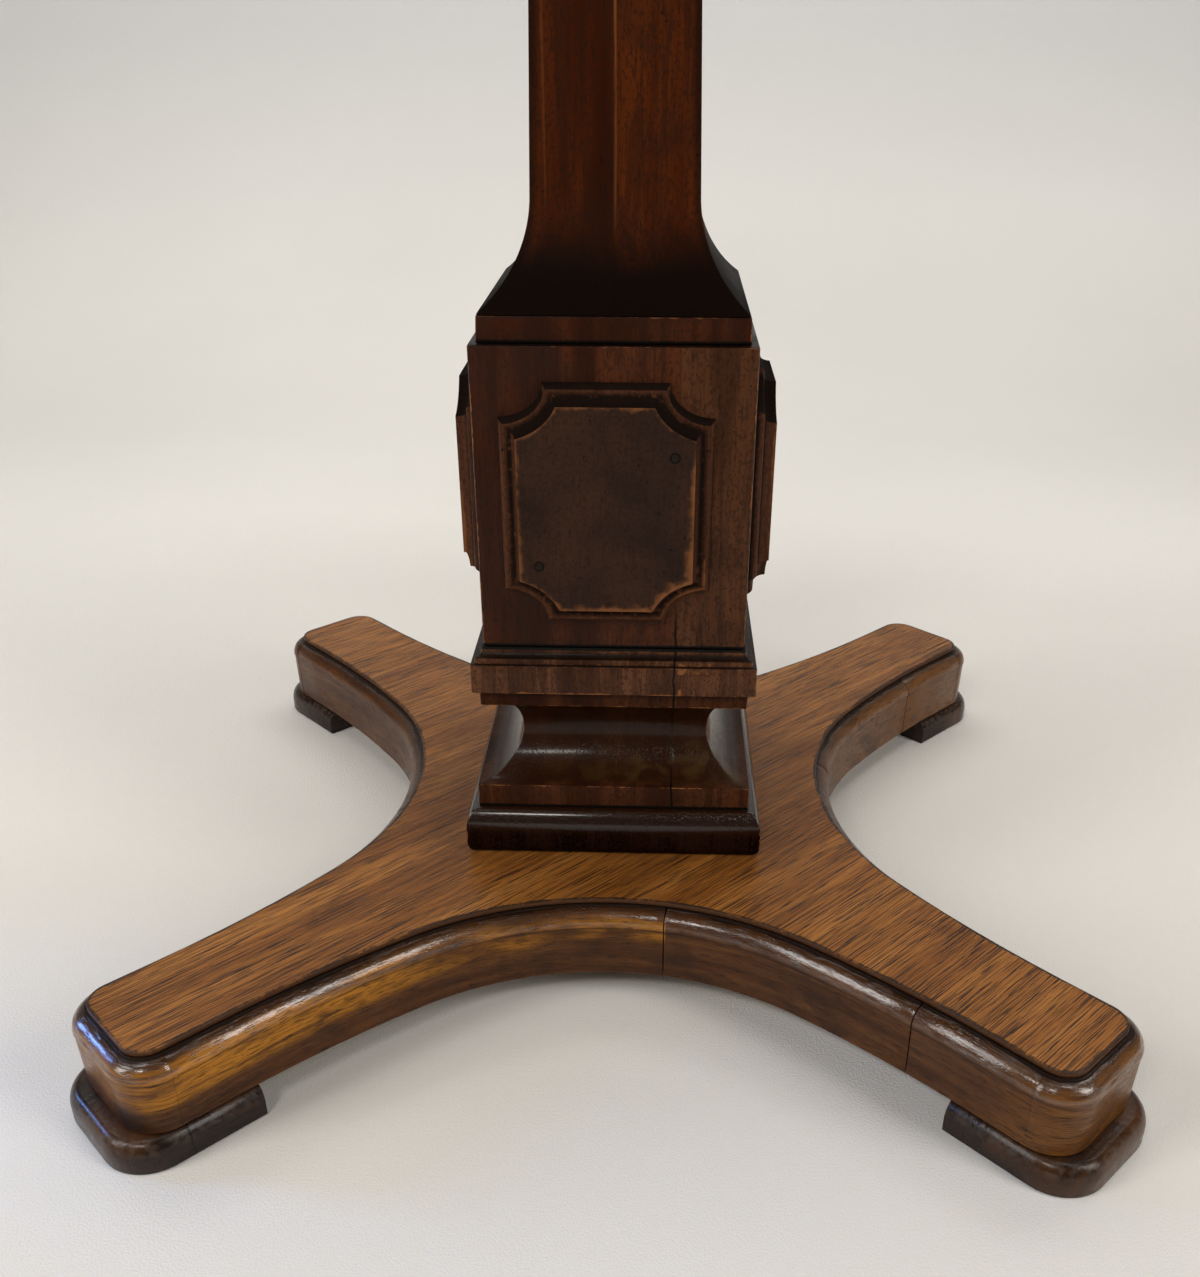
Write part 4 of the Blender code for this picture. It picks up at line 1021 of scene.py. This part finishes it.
# Shaft: two lengths of mahogany glued side by side, tapering upwards from a hollow flare at the foot.
# The glue line shows pale down the middle of its faces. A tenon at its head goes into the capital.
shaft_base, shaft_top, shaft_half, shaft_top_half = 0.3164, 0.6491, 0.0357, 0.0285
flare_wide, flare_high, seam_open = 0.0579, 0.045, 0.00004
flare_in = flare_wide - shaft_half
flare_radius = (flare_in ** 2 + flare_high ** 2) / (2 * flare_in)
shaft_profile = [(shaft_base, flare_wide)]
for step in range(1, 15):
    rise = flare_high * step / 14
    shaft_profile.append((shaft_base + rise,
                          shaft_half + flare_radius - sqrt(flare_radius ** 2 - (flare_high - rise) ** 2)))
shaft_profile.append((shaft_top, shaft_top_half))
for side, name, tone in ((1, "right", (0.65, 0.48, 0.29)), (-1, "left", (0.54, 0.40, 0.27))):
    shaft_finish = column_polish("shaft_%s_polish" % name, [shaft_base], tone, 0.02, (0.5, 0.6), 1.0, 0.00008,
                                 seams=((0.0, 0.0009, 0.55), (-0.029, 0.0008, 0.14)), rim=0.7)
    half = lay_plane("shaft_%s_length" % name, 2 * flare_wide, (0.0, 0.0, shaft_base))
    seam = seam_open * side
    pick(half, lambda place: place.x * side < 0)
    bpy.ops.transform.translate(value=(seam + side * flare_wide, 0.0, 0.0))
    bpy.ops.mesh.select_all(action="SELECT")
    for (low, wide), (high, next_wide) in zip(shaft_profile, shaft_profile[1:]):
        push((0.0, 0.0, high - low))
        grow = ((next_wide - seam_open) / (wide - seam_open), next_wide / wide, 1.0)
        bpy.ops.transform.resize(value=grow, center_override=(seam, 0.0, high))
    close_up(half)
    pick(half, lambda place: place.x * side > 0.01)
    bpy.ops.mesh.bevel(offset=0.0006, segments=2, affect="EDGES")
    close_up(half)
    bpy.ops.object.shade_smooth_by_angle(angle=radians(30))
    dress(half, shaft_finish, "column_mahogany", "shaft_%s_half" % name)

# Capital and bearer: a square block hollowed out to meet the bearer board, which the top is screwed to from
# below. Both are plain polished mahogany and lie above the photo, so they are kept simple.
capital_base, bearer_base, top_base = 0.6494, 0.6857, 0.708
capital_neck, capital_half, bearer_half, bearer_bevel = 0.030, 0.050, 0.150, 0.008
hollow_base, hollow_top = capital_base + 0.006, capital_base + 0.026
capital_profile = [(capital_base, capital_neck), (hollow_base, capital_neck)]
capital_profile += quarter((hollow_base, capital_neck), (hollow_top, capital_half), 1, 10)
capital_profile += [(bearer_base - glue_line, capital_half)]
capital = square_block("column_capital", round_over(capital_profile, radius=0.0005), arris=0.0006)
capital_finish = column_polish("capital_polish", [capital_base], grey(0.8))
dress(capital, capital_finish, "column_mahogany", "capital_block")
bearer_profile = [(bearer_base, bearer_half - bearer_bevel), (bearer_base + bearer_bevel, bearer_half)]
bearer_profile += [(top_base - glue_line, bearer_half)]
bearer = square_block("bearer_under_top", round_over(bearer_profile, radius=0.001), arris=0.001)
dress(bearer, column_polish("bearer_polish", [], grey(0.8)), "column_mahogany", "bearer_board")

# Table top: a pine board veneered in mahogany, with the platform's lipping mitred round its rounded corners.
# It is above the photo, so its square shape is the usual one for such a table.
top_half, top_corner, table_high, mitre_gap = 0.280, 0.012, 0.730, 0.00015
top_sheet = lay_plane("top_veneer_sheet", 2 * top_half, (0.0, 0.0, table_high))
bpy.ops.object.mode_set(mode="EDIT")
bpy.ops.mesh.bevel(offset=top_corner, segments=10, affect="VERTICES")
bpy.ops.mesh.select_all(action="SELECT")
push((0.0, 0.0, -veneer_thick))
finish_sheet(top_sheet, table_high, veneer_polish("top_veneer_polish", 0.0), "top_veneer")
top_section = lipping_section(table_high - veneer_thick - glue_line, top_base)
left_corner = Vector((top_corner - top_half, top_corner - top_half, 0.0))
right_corner = Vector((top_half - top_corner, top_corner - top_half, 0.0))
mitre_open = mitre_gap / top_corner
mitre_start = Matrix.Rotation(mitre_open, 3, "Z") @ arm_side
strip_start = left_corner + mitre_start * top_corner
top_strip, _ = lipping("top_lipping_front", top_section, strip_start, mitre_start, [
    sweep(left_corner, mitre_open - pi / 4, 6), stretch_by(right_corner - left_corner),
    sweep(right_corner, mitre_open - pi / 4, 6)])
dress_round(top_strip, bay_names, "top_lipping_%s", edge_polish, "edge_mahogany", "top_strip_%s")
